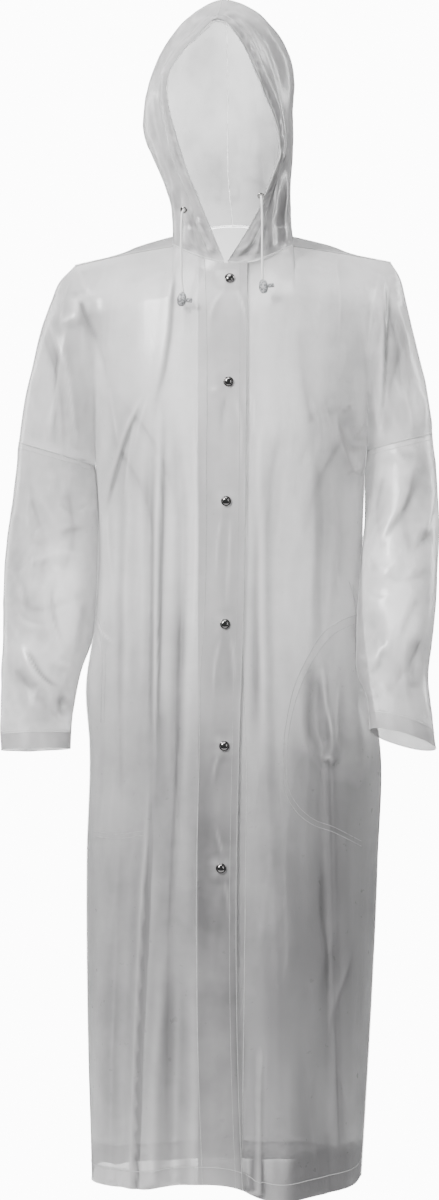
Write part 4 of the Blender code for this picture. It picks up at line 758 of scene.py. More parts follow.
def painted_shade_at(p, group):
    """Painted shade at each point, -1 to 1, which also makes the film a little denser: darker towards the hem and more
    so low on the +x side, a little lighter again near the hem and lighter over the chest, darker at the top of the
    back and on the hood's +x side and rear, with the listed painted highlights and shade and a little random tone.
    """
    x, z = p[:, 0], p[:, 2]
    out = np.zeros(len(p))
    if group in ("front", "back"):
        # painted shade towards the hem and low on the +x side; painted light near the hem and over the chest
        out += 0.74 * step((-380 - z) / 520.0) + 0.68 * step((-480 - z) / 420.0) * step((x - 10) / 130.0)
        out -= 0.3 * step((-960 - z) / 260.0)
        out -= 0.5 * bump((z + 260) / 260.0) * bump((x + 5) / 150.0)
    # painted shade at the top of the back, by the neck
    if group == "back":
        out += 0.6 * step((z + 70) / 40.0)
    # painted shade on the hood's +x side and over its rear
    if group == "hood":
        out += 0.68 * step((x - 15) / 55.0) + 0.14 + 0.8 * step((p[:, 1] - 10) / 60.0)
    # the listed painted highlights and painted shade
    for cx, cz, rx, rz, amount in PAINTED_HIGHLIGHTS_AND_SHADE.get(group, ()):
        r = np.sqrt(((x - cx) / rx) ** 2 + ((z - cz) / rz) ** 2)
        out += amount * bump(r * 0.9)
    out += 0.12 * noise(np.stack([x / 60, z / 150, p[:, 1] / 80], -1) + 3.3, 77)
    return np.clip(out, -1.2, 1.4)


# ---------------------------------------------------------------- meshes
class Sheet:
    """Grids of points joined into one sheet, with shared points welded."""

    def __init__(self):
        self.points, self.faces, self.index, self.grids = [], [], {}, []

    def put(self, p):
        key = (round(p[0], 2), round(p[1], 2), round(p[2], 2))
        at = self.index.get(key)
        if at is None:
            at = self.index[key] = len(self.points)
            self.points.append(p)
        return at

    def grid(self, rows, flip=False, skip=None):
        rows = np.asarray(rows, float)
        ids = np.array([[self.put(tuple(p)) for p in row] for row in rows])
        self.grids.append(ids)
        a, b = ids[:-1, :-1], ids[:-1, 1:]
        c, d = ids[1:, 1:], ids[1:, :-1]
        quads = np.stack([a, b, c, d], -1)
        if skip is not None:
            quads = quads[~skip]
        quads = quads.reshape(-1, 4)
        if flip:
            quads = quads[:, ::-1]
        for f in quads.tolist():
            f = list(dict.fromkeys(f))
            if len(f) > 2:
                self.faces.append(f)

    def array(self):
        return np.array(self.points, float)

    def normals(self, p):
        n = np.zeros_like(p)
        quads = np.array([f if len(f) == 4 else f + [f[-1]] for f in self.faces])
        a, b, c, d = (p[quads[:, k]] for k in range(4))
        m = np.cross(c - a, d - b)
        for k in range(4):
            np.add.at(n, quads[:, k], m)
        return n / np.maximum(np.linalg.norm(n, axis=1, keepdims=True), 1e-9)

    def crease(self, group, seams, reach=16.0, keep=0.12):
        """Moves the points out of the form, less and less towards the seams."""
        p = self.array()
        n = self.normals(p)
        hold = np.ones(len(p))
        if len(seams):
            tree = KDTree(len(seams))
            for i, s in enumerate(seams):
                tree.insert(s, i)
            tree.balance()
            d = np.array([tree.find(v)[2] for v in p.tolist()])
            hold = keep + (1 - keep) * step(d / reach)
        moves = form_moves(p, n, group, hold)
        q = p + n * moves[:, None]
        self.points = [tuple(v) for v in q]
        # marks for painted light and shade: sharp crests are painted whiter and denser, partly the film's own stress
        # whitening and partly a painted highlight; hollows get painted shade, and steep fold flanks painted shade and
        # more density
        quads = np.array([f if len(f) == 4 else f + [f[-1]] for f in self.faces])
        pairs = np.concatenate([quads[:, [0, 1]], quads[:, [1, 2]], quads[:, [2, 3]], quads[:, [3, 0]]])
        count = np.bincount(pairs.ravel(), minlength=len(p)).astype(float)
        def blur(v, times):
            for _ in range(times):
                t = np.bincount(pairs[:, 0], v[pairs[:, 1]], len(p)) + np.bincount(pairs[:, 1], v[pairs[:, 0]], len(p))
                v = 0.5 * v + 0.5 * t / np.maximum(count, 1)
            return v
        times = max(int(7 * FINE * FINE), 2)
        sharp = moves - blur(moves, times)
        self.crest = np.clip(0.5 + sharp / 1.3, 0, 1)
        m = self.normals(q)
        lean = np.sqrt(np.clip(1 - (m * n).sum(1) ** 2, 0, 1))
        self.steep = np.clip(blur(lean, 1) / 0.55, 0, 1)
        if group in ("front", "back"):
            calmer = 1 - 0.45 * step((-560 - q[:, 2]) / 380.0)      # weaker painted crease highlight and shade over the skirt
            self.steep *= calmer
            self.crest = 0.5 + (self.crest - 0.5) * calmer
        if group == "hood":
            calmer = 1 - 0.8 * step((q[:, 1] + 5) / 45.0)           # weaker painted crease highlight and shade towards the hood's rear
            self.steep *= calmer
            self.crest = 0.5 + (self.crest - 0.5) * calmer
        # painted shade and painted highlights by place on the coat
        self.shade = painted_shade_at(q, group)
        self.veil = step((-1163 - q[:, 2]) / 20.0) * (0.6 + 0.4 * step((q[:, 0] - 5) / 20.0)) if group == "front" else np.zeros(len(q))
        return q

    def rows(self, k=0):
        p = self.array()
        return p[self.grids[k]]


def add(obj, body="root"):
    bpy.context.scene.collection.objects.link(obj)
    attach(obj, body)
    return obj


def make(name, points, faces, mat, sharp=None, marks=None):
    mesh = bpy.data.meshes.new(name)
    mesh.from_pydata((np.asarray(points, float) * 0.001).tolist(), [], faces)
    mesh.validate()
    mesh.update()
    mesh.materials.append(mat)
    mesh.shade_smooth()
    if sharp:
        mesh.set_sharp_from_angle(angle=math.radians(sharp))
    for key, values in (marks or {}).items():
        mesh.attributes.new(key, "FLOAT", "POINT").data.foreach_set("value", np.asarray(values, np.float32))
    obj = bpy.data.objects.new(name, mesh)
    return add(obj)


def offset(rows, amount):
    """The same rows moved along their own normals, out when amount > 0."""
    p = np.asarray(rows, float)
    du, dv = np.gradient(p, axis=0), np.gradient(p, axis=1)
    n = np.cross(dv, du)
    n /= np.maximum(np.linalg.norm(n, axis=-1, keepdims=True), 1e-9)
    amount = np.asarray(amount, float)
    return p + n * (amount[..., None] if amount.ndim else amount)


def patch(name, rows, mat, flip=False):
    sheet = Sheet()
    sheet.grid(rows, flip=flip)
    return make(name, sheet.points, sheet.faces, mat)


def bead(name, path, radius, mat, sides=6, squash=1.0, normals=None, closed=False):
    """A thin bar along a path: a cut edge, a weld or a stitched line."""
    p = np.asarray(path, float)
    keep = np.concatenate([[True], np.linalg.norm(np.diff(p, axis=0), axis=1) > 0.05])
    p = p[keep]
    t = np.gradient(p, axis=0)
    t /= np.maximum(np.linalg.norm(t, axis=1, keepdims=True), 1e-9)
    if normals is None:
        up = np.tile([0.0, -1.0, 0.3], (len(p), 1))
    else:
        up = np.asarray(normals, float)[keep]
    side = np.cross(t, up)
    side /= np.maximum(np.linalg.norm(side, axis=1, keepdims=True), 1e-9)
    up = np.cross(side, t)
    verts, faces = [], []
    for k in range(sides):
        a = 2 * math.pi * k / sides
        verts.append(p + side * (radius * math.cos(a)) + up * (radius * squash * math.sin(a)))
    verts = np.array(verts).transpose(1, 0, 2).reshape(-1, 3)
    m = len(p)
    for i in range(m if closed else m - 1):
        j = (i + 1) % m
        for k in range(sides):
            l = (k + 1) % sides
            faces.append([i * sides + k, i * sides + l, j * sides + l, j * sides + k])
    if not closed:
        faces.append(list(range(sides)))
        faces.append([(m - 1) * sides + k for k in range(sides)][::-1])
    return verts, faces


def beads(name, parts, mat):
    """Several bars as one piece."""
    verts, faces, base = [], [], 0
    for v, f in parts:
        verts.append(v)
        faces += [[i + base for i in q] for q in f]
        base += len(v)
    return make(name, np.concatenate(verts), faces, mat)


def turned(name, profile, centre, axis, mat, steps=56, ring=False, smooth_angle=38):
    """A solid of revolution: profile of (radius, height) along the axis."""
    bm = bmesh.new()
    verts = [bm.verts.new((r * 0.001, 0, h * 0.001)) for r, h in profile]
    if ring:
        bm.verts.remove(verts.pop())
        verts.append(verts[0])
    edges = [bm.edges.new((a, b)) for a, b in zip(verts, verts[1:])]
    verts = verts[:-1] if ring else verts
    bmesh.ops.spin(bm, geom=verts + edges, cent=(0, 0, 0), axis=(0, 0, 1),
                   angle=2 * math.pi, steps=steps, use_merge=True, use_duplicate=False)
    bmesh.ops.remove_doubles(bm, verts=bm.verts, dist=1e-6)
    bmesh.ops.recalc_face_normals(bm, faces=bm.faces)
    mesh = bpy.data.meshes.new(name)
    bm.to_mesh(mesh)
    bm.free()
    mesh.materials.append(mat)
    mesh.shade_smooth()
    mesh.set_sharp_from_angle(angle=math.radians(smooth_angle))
    obj = bpy.data.objects.new(name, mesh)
    obj.rotation_euler = Vector(axis).to_track_quat("Z", "Y").to_euler()
    obj.location = [c * 0.001 for c in centre]
    return add(obj)


def along(points, n):
    """n+1 evenly spaced points on a smooth curve through the given points."""
    p = np.asarray(points, float)
    d = np.concatenate([[0], np.cumsum(np.linalg.norm(np.diff(p, axis=0), axis=1))])
    fine = np.linspace(0, d[-1], 400)
    q = np.stack([smooth(d, p[:, c], fine) for c in range(3)], -1)
    e = np.concatenate([[0], np.cumsum(np.linalg.norm(np.diff(q, axis=0), axis=1))])
    t = np.linspace(0, e[-1], n + 1)
    return np.stack([np.interp(t, e, q[:, c]) for c in range(3)], -1)


def slack(points, reach):
    """A line through the points that cuts their corners on the inner side."""
    p = np.asarray(points, float)
    d = np.concatenate([[0], np.cumsum(np.linalg.norm(np.diff(p, axis=0), axis=1))])
    t = np.arange(0, d[-1], 2.0)
    q = np.stack([np.interp(t, d, p[:, c]) for c in range(3)], -1)
    k = int(reach / 2.0)
    w = np.hanning(2 * k + 3)[1:-1]
    padded = np.concatenate([2 * q[0] - q[k:0:-1], q, 2 * q[-1] - q[-2:-k - 2:-1]])
    return np.stack([np.convolve(padded[:, c], w / w.sum(), "valid") for c in range(3)], -1)


def braid(name, line, radius, mat, spin=0.0):
    """A braided cord: a tube whose surface rises and falls in crossing strands."""
    d = np.concatenate([[0], np.cumsum(np.linalg.norm(np.diff(line, axis=0), axis=1))])
    n = max(int(d[-1] / 0.32), 8)
    t = np.linspace(0, d[-1], n)
    p = np.stack([np.interp(t, d, line[:, c]) for c in range(3)], -1)
    tan = np.gradient(p, axis=0)
    tan /= np.linalg.norm(tan, axis=1, keepdims=True)
    ref = np.tile([0.0, -1.0, 0.2], (n, 1))
    side = np.cross(tan, ref)
    side /= np.linalg.norm(side, axis=1, keepdims=True)
    up = np.cross(side, tan)
    sides = 20
    a = np.linspace(0, 2 * np.pi, sides, endpoint=False)
    A, T = np.meshgrid(a + spin, t)
    s1 = np.cos(A * 4 + T * 2.1)
    s2 = np.cos(A * 4 - T * 2.1)
    r = radius * (0.90 + 0.05 * np.maximum(s1, s2) + 0.05 * np.abs(s1 * s2))
    q = (p[:, None] + side[:, None] * (r * np.cos(A))[..., None] + up[:, None] * (r * np.sin(A))[..., None])
    verts = q.reshape(-1, 3)
    faces = []
    for i in range(n - 1):
        for k in range(sides):
            l = (k + 1) % sides
            faces.append([i * sides + k, i * sides + l, (i + 1) * sides + l, (i + 1) * sides + k])
    faces.append(list(range(sides)))
    faces.append([(n - 1) * sides + k for k in range(sides)][::-1])
    return make(name, verts, faces, mat)


# ---------------------------------------------------------------- materials
def nodes_of(name):
    m = bpy.data.materials.new(name)
    m.use_nodes = True
    nt = m.node_tree
    return m, nt, nt.nodes["Principled BSDF"]


def tex(nt, kind, scale, detail=3.0, rough=0.5, vector=None):
    n = nt.nodes.new(kind)
    n.inputs["Scale"].default_value = scale
    if "Detail" in n.inputs:
        n.inputs["Detail"].default_value = detail
    if "Roughness" in n.inputs and kind == "ShaderNodeTexNoise":
        n.inputs["Roughness"].default_value = rough
    if vector is not None:
        nt.links.new(vector, n.inputs["Vector"])
    return n


def coords(nt, scale=(1, 1, 1)):
    c = nt.nodes.new("ShaderNodeTexCoord")
    m = nt.nodes.new("ShaderNodeMapping")
    m.inputs["Scale"].default_value = scale
    nt.links.new(c.outputs["Object"], m.inputs["Vector"])
    return m.outputs["Vector"]


def remap(nt, value, a, b, c, d):
    m = nt.nodes.new("ShaderNodeMapRange")
    m.inputs["From Min"].default_value, m.inputs["From Max"].default_value = a, b
    m.inputs["To Min"].default_value, m.inputs["To Max"].default_value = c, d
    nt.links.new(value, m.inputs["Value"])
    return m.outputs["Result"]


def mix_colour(nt, factor, a, b):
    m = nt.nodes.new("ShaderNodeMix")
    m.data_type = "RGBA"
    m.inputs["A"].default_value = (*a, 1)
    m.inputs["B"].default_value = (*b, 1)
    for s in m.inputs:
        if s.name == "A" and s.type == "RGBA":
            s.default_value = (*a, 1)
        if s.name == "B" and s.type == "RGBA":
            s.default_value = (*b, 1)
    nt.links.new(factor, m.inputs[0])
    return m.outputs[2]


def mark(nt, name):
    a = nt.nodes.new("ShaderNodeAttribute")
    a.attribute_name = name
    return a.outputs["Fac"]


def calc(nt, op, a, b, clamp=False):
    m = nt.nodes.new("ShaderNodeMath")
    m.operation = op
    m.use_clamp = clamp
    for s, v in zip(m.inputs, (a, b)):
        if isinstance(v, (int, float)):
            s.default_value = v
        else:
            nt.links.new(v, s)
    return m.outputs[0]


def film(name, alpha=(0.50, 0.60), light=(0.62, 0.62, 0.63), dark=(0.52, 0.52, 0.53), crinkle=0.35, rough=0.33,
         marked=True):
    """Frosted see-through film: uneven haze, a fine crinkle and a soft gloss.

    Marked film carries painted light and shade, mixed between its dark and light colours: it is whiter and denser
    along its sharp creases, partly the film's own stress whitening and partly a painted highlight, has painted shade
    in the hollows between creases and on the steep flanks of folds, where it is also denser, and takes the painted
    shade and highlights of its shade mark."""
    m, nt, b = nodes_of(name)
    v = coords(nt)
    long = coords(nt, (1, 1, 0.35))
    haze = tex(nt, "ShaderNodeTexNoise", 7.0, 4.0, 0.55, v)
    tone = remap(nt, haze.outputs["Fac"], 0.35, 0.65, 0.45, 0.7)
    dense = remap(nt, haze.outputs["Fac"], 0.3, 0.7, alpha[0], alpha[1])
    if marked:
        crest = remap(nt, mark(nt, "crest"), 0.5, 1.0, 0.0, 1.0)
        hollow = remap(nt, mark(nt, "crest"), 0.5, 0.0, 0.0, 1.0)
        steep = mark(nt, "steep")
        shade = mark(nt, "shade")
        # painted highlight on the crests, partly stress whitening; painted shade in the hollows, from the shade mark
        # and on steep fold flanks
        tone = calc(nt, "ADD", tone, calc(nt, "MULTIPLY", crest, 0.35))
        tone = calc(nt, "SUBTRACT", tone, calc(nt, "MULTIPLY", hollow, 0.4))
        tone = calc(nt, "SUBTRACT", tone, calc(nt, "MULTIPLY", shade, 0.62))
        tone = calc(nt, "SUBTRACT", tone, calc(nt, "MULTIPLY", steep, 0.42), clamp=True)
        dense = calc(nt, "ADD", dense, calc(nt, "MULTIPLY", shade, 0.07))
        dense = calc(nt, "ADD", dense, calc(nt, "MULTIPLY", mark(nt, "veil"), 0.125))
        dense = calc(nt, "ADD", dense, calc(nt, "MULTIPLY", crest, 0.12))
        dense = calc(nt, "ADD", dense, calc(nt, "MULTIPLY", steep, 0.11), clamp=True)
    nt.links.new(mix_colour(nt, tone, dark, light), b.inputs["Base Color"])
    nt.links.new(dense, b.inputs["Alpha"])
    grain = tex(nt, "ShaderNodeTexNoise", 90.0, 3.0, 0.6, v)
    nt.links.new(remap(nt, grain.outputs["Fac"], 0.3, 0.7, rough - 0.06, rough + 0.08), b.inputs["Roughness"])
    wide = tex(nt, "ShaderNodeTexNoise", 26.0, 5.0, 0.62, long)
    fine = tex(nt, "ShaderNodeTexNoise", 420.0, 2.0, 0.5, v)
    bump = nt.nodes.new("ShaderNodeBump")
    bump.inputs["Strength"].default_value = crinkle
    bump.inputs["Distance"].default_value = 0.004
    nt.links.new(wide.outputs["Fac"], bump.inputs["Height"])
    bump2 = nt.nodes.new("ShaderNodeBump")
    bump2.inputs["Strength"].default_value = 0.12
    bump2.inputs["Distance"].default_value = 0.0006
    nt.links.new(fine.outputs["Fac"], bump2.inputs["Height"])
    nt.links.new(bump.outputs["Normal"], bump2.inputs["Normal"])
    nt.links.new(bump2.outputs["Normal"], b.inputs["Normal"])
    b.inputs["IOR"].default_value = 1.5
    b.inputs["Sheen Weight"].default_value = 0.25
    b.inputs["Sheen Roughness"].default_value = 0.5
    b.inputs["Coat Weight"].default_value = 0.6
    b.inputs["Coat Roughness"].default_value = 0.24
    m.use_backface_culling = False
    return m


def weld(name, alpha=0.8, tone=0.80):
    m, nt, b = nodes_of(name)
    v = coords(nt)
    n = tex(nt, "ShaderNodeTexNoise", 160.0, 3.0, 0.6, v)
    nt.links.new(mix_colour(nt, n.outputs["Fac"], (tone - 0.05,) * 3, (tone + 0.06,) * 3), b.inputs["Base Color"])
    nt.links.new(remap(nt, n.outputs["Fac"], 0.3, 0.7, alpha - 0.08, alpha + 0.08), b.inputs["Alpha"])
    b.inputs["Roughness"].default_value = 0.35
    return m


def metal(name, tone=(0.25, 0.243, 0.243)):
    m, nt, b = nodes_of(name)
    v = coords(nt)
    n = tex(nt, "ShaderNodeTexNoise", 900.0, 3.0, 0.6, v)
    nt.links.new(mix_colour(nt, n.outputs["Fac"], tuple(c * 0.85 for c in tone), tuple(min(c * 1.15, 1) for c in tone)), b.inputs["Base Color"])
    nt.links.new(remap(nt, n.outputs["Fac"], 0.3, 0.7, 0.10, 0.2), b.inputs["Roughness"])
    b.inputs["Metallic"].default_value = 1.0
    return m


def clear(name):
    m, nt, b = nodes_of(name)
    v = coords(nt)
    n = tex(nt, "ShaderNodeTexNoise", 420.0, 2.0, 0.65, v)
    # painted glints and dark specks: the colour is speckled from dark grey to near white, for the sparkle of the clear
    # plastic
    nt.links.new(mix_colour(nt, remap(nt, n.outputs["Fac"], 0.4, 0.6, 0.0, 1.0), (0.28, 0.29, 0.30), (0.96, 0.97, 0.98)), b.inputs["Base Color"])
    nt.links.new(remap(nt, n.outputs["Fac"], 0.3, 0.7, 0.03, 0.09), b.inputs["Roughness"])
    b.inputs["Transmission Weight"].default_value = 0.55
    grain = tex(nt, "ShaderNodeTexNoise", 620.0, 2.0, 0.6, v)
    bump = nt.nodes.new("ShaderNodeBump")
    bump.inputs["Strength"].default_value = 0.8
    bump.inputs["Distance"].default_value = 0.0012
    nt.links.new(grain.outputs["Fac"], bump.inputs["Height"])
    nt.links.new(bump.outputs["Normal"], b.inputs["Normal"])
    b.inputs["IOR"].default_value = 1.49
    return m


def cotton(name):
    m, nt, b = nodes_of(name)
    v = coords(nt)
    n = tex(nt, "ShaderNodeTexNoise", 1400.0, 2.0, 0.5, v)
    nt.links.new(mix_colour(nt, n.outputs["Fac"], (0.88, 0.87, 0.86), (0.97, 0.965, 0.96)), b.inputs["Base Color"])
    bump = nt.nodes.new("ShaderNodeBump")
    bump.inputs["Strength"].default_value = 0.3
    bump.inputs["Distance"].default_value = 0.0002
    nt.links.new(n.outputs["Fac"], bump.inputs["Height"])
    nt.links.new(bump.outputs["Normal"], b.inputs["Normal"])
    b.inputs["Roughness"].default_value = 0.75
    b.inputs["Sheen Weight"].default_value = 0.3
    return m

# ---------------------------------------------------------------- materials used
# the dark and light colours of each marked film are how far its painted shade and painted highlights reach; the hood
# and sleeve copies have their own
FILM = film("film", alpha=(0.77, 0.84), light=(0.97, 0.955, 0.96), dark=(0.19, 0.186, 0.19))
FILM_HOOD = film("film_hood", alpha=(0.76, 0.85), light=(0.86, 0.845, 0.85), dark=(0.27, 0.265, 0.27), crinkle=0.5)
FILM_SLEEVE = film("film_sleeve", alpha=(0.76, 0.83), light=(0.95, 0.935, 0.94), dark=(0.24, 0.236, 0.24), crinkle=0.4)
FILM_INNER = film("film_inner", alpha=(0.16, 0.26), light=(0.74, 0.73, 0.735), dark=(0.5, 0.49, 0.495), crinkle=0.5, marked=False)
FILM_HEM = film("film_hem", alpha=(0.5, 0.6), light=(0.80, 0.79, 0.795), dark=(0.5, 0.49, 0.495), crinkle=0.5, marked=False)
WELD = weld("weld", 0.6, 0.78)
EDGE = weld("edge", 0.7, 0.66)
STEEL = metal("snap_steel")
STEEL_DARK = metal("eyelet_steel", (0.42, 0.41, 0.40))
CLEAR_WITH_PAINTED_GLINTS = clear("stopper_clear_painted_glints")
COTTON = cotton("cord_cotton")

# ---------------------------------------------------------------- cords first
cords = {}
hardware = {}
for side, tag in ((-1, "right"), (1, "left")):
    route = np.array(CORD[side], float)
    line = along(route, CORD_POINTS)
    obj = braid(f"drawcord_{tag}", line, CORD_D / 2, COTTON, 0.4 * side)
    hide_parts(f"cord_{tag}")
    cords[tag] = obj
    out = route[1] - route[0]
    out /= np.linalg.norm(out)
    ring = [(1.9, 0.0), (4.0, 0.0), (4.5, 0.35), (4.6, 0.7), (4.35, 1.1), (3.8, 1.32), (3.0, 1.38),
            (2.3, 1.2), (1.95, 0.8), (1.9, 0.0)]
    eyelet = turned(f"grommet_{tag}", ring, route[0] - out * 1.9, out, STEEL_DARK, 40, ring=True)
    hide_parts(f"eyelet_{tag}")
    end = line[-1]
    lean = np.array(STOPPER_LEAN[side], float)
    lean /= np.linalg.norm(lean)
    top = end + lean * 0.35
    barrel = [(0, 0.1), (1.9, 0.1), (2.3, 0.25), (3.1, 0.75), (4.1, 1.8), (5.0, 3.6), (5.6, 5.8), (5.95, 8.3),
              (6.0, 9.2), (5.9, 10.4), (5.5, 12.6), (4.9, 14.5), (4.0, 16.1), (3.0, 17.1), (2.2, 17.5), (0, 17.6)]
    stop = turned(f"toggle_{tag}", barrel, top, lean, CLEAR_WITH_PAINTED_GLINTS, 40, smooth_angle=60)
    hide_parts(f"stopper_{tag}")
    b = np.array(BUTTON_OUT[side], float)
    b -= lean * b.dot(lean)
    b /= np.linalg.norm(b)
    button = [(0, 0), (2.5, 0), (2.7, 0.5), (2.7, 4.4), (2.95, 4.8), (2.95, 6.3), (2.7, 6.9), (2.1, 7.3), (1.2, 7.35), (0, 7.2)]
    knob = turned(f"toggle_button_{tag}", button, top + lean * 9.0 + b * 6.4, b, CLEAR_WITH_PAINTED_GLINTS, 32, smooth_angle=40)
    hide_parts(f"stopper_button_{tag}")
    [[c * 0.001 for c in q] for q in line]

# ---------------------------------------------------------------- the panels
def panel(side, part, start):
    low, high, limb = panel_grid(side, part, start, COLS, ARM_COLS, ROWS, TOP_ROWS)
    sign = -1 if part == "front" else 1
    torso = place(np.concatenate([low, high]), part, side)
    arms = place(limb, part, side, arm_block=True)
    torso[:len(low), -1, 1] = sign * SEAM
    torso[-1, CORNER:, 1] = sign * TOP_SEAM
    arms[-1, :, 1] = sign * TOP_SEAM
    arms[:, -1, 1] = sign * TOP_SEAM
    torso[len(low), -1, 1] = sign * 1.0
    arms[:, 0] = torso[len(low):, -1]
    return torso, arms, len(low)


def free_edge(z):
    return smooth((-1222, -1100, -900, -650, -500, -60), (18, 13, 10, 14, 19, 24), z)


def under_edge(z):
    return UNDER_EDGE + 0.0 * np.asarray(z)


def middle(z):
    return NECK["x"] + 0.0 * np.asarray(z)


def form_point(x, z, out):
    """A point of the outer front at (x, z), moved out, and its outward normal."""
    e = 2.0
    f = lambda a, b: float(depth(np.array(a), np.array(b), "front", -1))
    d = f(x, z)
    gx = (f(x + e, z) - f(x - e, z)) / (2 * e)
    gz = (f(x, z + e) - f(x, z - e)) / (2 * e)
    n = np.array([-gx, -1.0, -gz])
    n /= np.linalg.norm(n)
    return np.array([x, -d, z]) + n * out, n


def seams_of(torso, arms, n):
    return ([tuple(p) for p in torso[:n + 1, -1]] + [tuple(p) for p in torso[-1]]
            + [tuple(p) for p in arms[-1]] + [tuple(p) for p in arms[0]])


PINNED = [tuple(form_point(x, z, 0.0)[0] + np.array([dx, 0, dz]))
          for x, z in zip(SNAP_X, SNAP_Z) for dx in (-5, 0, 5) for dz in (-5, 0, 5)]
grids = {}
for side, name, start in ((-1, "right", free_edge), (1, "left", under_edge)):
    torso, arms, n = panel(side, "front", start)
    if side > 0:
        torso = offset(torso, -UNDER * step((62 - torso[..., 0]) / 30.0) * side)
        arms[:, 0] = torso[n:, -1]
    sheet = Sheet()
    sheet.grid(torso, flip=side < 0)
    sheet.grid(arms, flip=side < 0)
    sheet.crease("front", seams_of(torso, arms, n) + PINNED)
    obj = make(f"film_front_{name}", sheet.points, sheet.faces, FILM, marks=dict(crest=sheet.crest, steep=sheet.steep, shade=sheet.shade, veil=sheet.veil))
    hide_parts(f"front_{name}")
    grids[name] = dict(obj=obj, torso=sheet.rows(0), arms=sheet.rows(1), arms0=arms, n=n)

sheet = Sheet()
seams = []
for side, name in ((-1, "right"), (1, "left")):
    torso, arms, n = panel(side, "back", middle)
    if side < 0:
        seam = torso[:, 0].copy()
    torso[:, 0] = seam
    sheet.grid(torso, flip=side > 0)
    sheet.grid(arms, flip=side > 0)
    seams += seams_of(torso, arms, n)
    grids["back_" + name] = dict(arms0=arms, n=n)
sheet.crease("back", seams)
back = make("film_back", sheet.points, sheet.faces, FILM, marks=dict(crest=sheet.crest, steep=sheet.steep, shade=sheet.shade, veil=sheet.veil))
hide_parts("back")
for k, name in enumerate(("right", "left")):
    grids["back_" + name].update(torso=sheet.rows(2 * k), arms=sheet.rows(2 * k + 1))


def upto(rows, height, start=0):
    """How many rows lie within a height of the first, at the middle column."""
    d = np.linalg.norm(np.diff(rows[:, rows.shape[1] // 2], axis=0), axis=1).cumsum()
    return int(np.searchsorted(d, height)) + 2


def level(rows, height):
    """A row at a set distance above the first one, all along it."""
    d = np.concatenate([np.zeros((1, rows.shape[1])), np.linalg.norm(np.diff(rows, axis=0), axis=-1).cumsum(0)])
    return np.array([[np.interp(height, d[:, j], rows[:, j, c]) for c in range(3)] for j in range(rows.shape[1])])


def out_of(rows, amount, side):
    return offset(rows, amount * side)


# facings, hem bands, cut edges and stitched lines of the body
lines = []
edges = []
for side, name in ((-1, "right"), (1, "left")):
    g = grids[name]
    rows = offset(g["torso"], -(LAYER + 0.05) * side)[:, :FACING_COLS + 1].copy()
    rows[:, 0, 0] += side * 0.4
    rows[-1] += (rows[-2] - rows[-1]) * 0.2
    obj = patch(f"film_facing_{name}", rows, FILM_INNER, flip=side < 0)
    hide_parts(f"facing_{name}")
    g["facing"] = obj
    outer = offset(g["torso"], 0.25 * side)
    edges.append(bead("", g["torso"][:, 0], 0.55, None))
    lines.append(bead("", outer[:, FACING_COLS], 0.5, None, squash=0.5))
    lines.append(bead("", outer[:, 3], 0.3, None, squash=0.6))
    edges.append(bead("", g["torso"][0], 0.5, None))
    lines.append(bead("", level(outer, 22.0), 0.45, None, squash=0.5))
    k = upto(g["torso"], 22.0)
    band = offset(g["torso"][:k], -1.2 * side)
    g["hem"] = patch(f"hem_front_{name}", band, FILM_HEM, flip=side < 0)
for name, side in (("right", -1), ("left", 1)):
    g = grids["back_" + name]
    outer = offset(g["torso"], -0.25 * side)
    edges.append(bead("", g["torso"][0], 0.5, None))
    lines.append(bead("", level(outer, 22.0), 0.45, None, squash=0.5))
    k = upto(g["torso"], 22.0)
    band = offset(g["torso"][:k], 1.2 * side)
    g["hem"] = patch(f"hem_back_{name}", band, FILM_HEM, flip=side > 0)
    # side seam, shoulder seam and the sleeve seam
    f = grids[name]
    n = f["n"]
    mid = (f["torso"][:n + 1, -1] + g["torso"][:n + 1, -1]) / 2
    lines.append(bead("", mid + np.array([side * 0.3, 0, 0]), 0.8, None))
    top = np.concatenate([f["torso"][-1, CORNER:], f["arms"][-1, 1:]])
    lines.append(bead("", top + np.array([0, -0.2, 0.5]), 0.9, None))
    top2 = top + np.array([0, -5.0, 0.0])

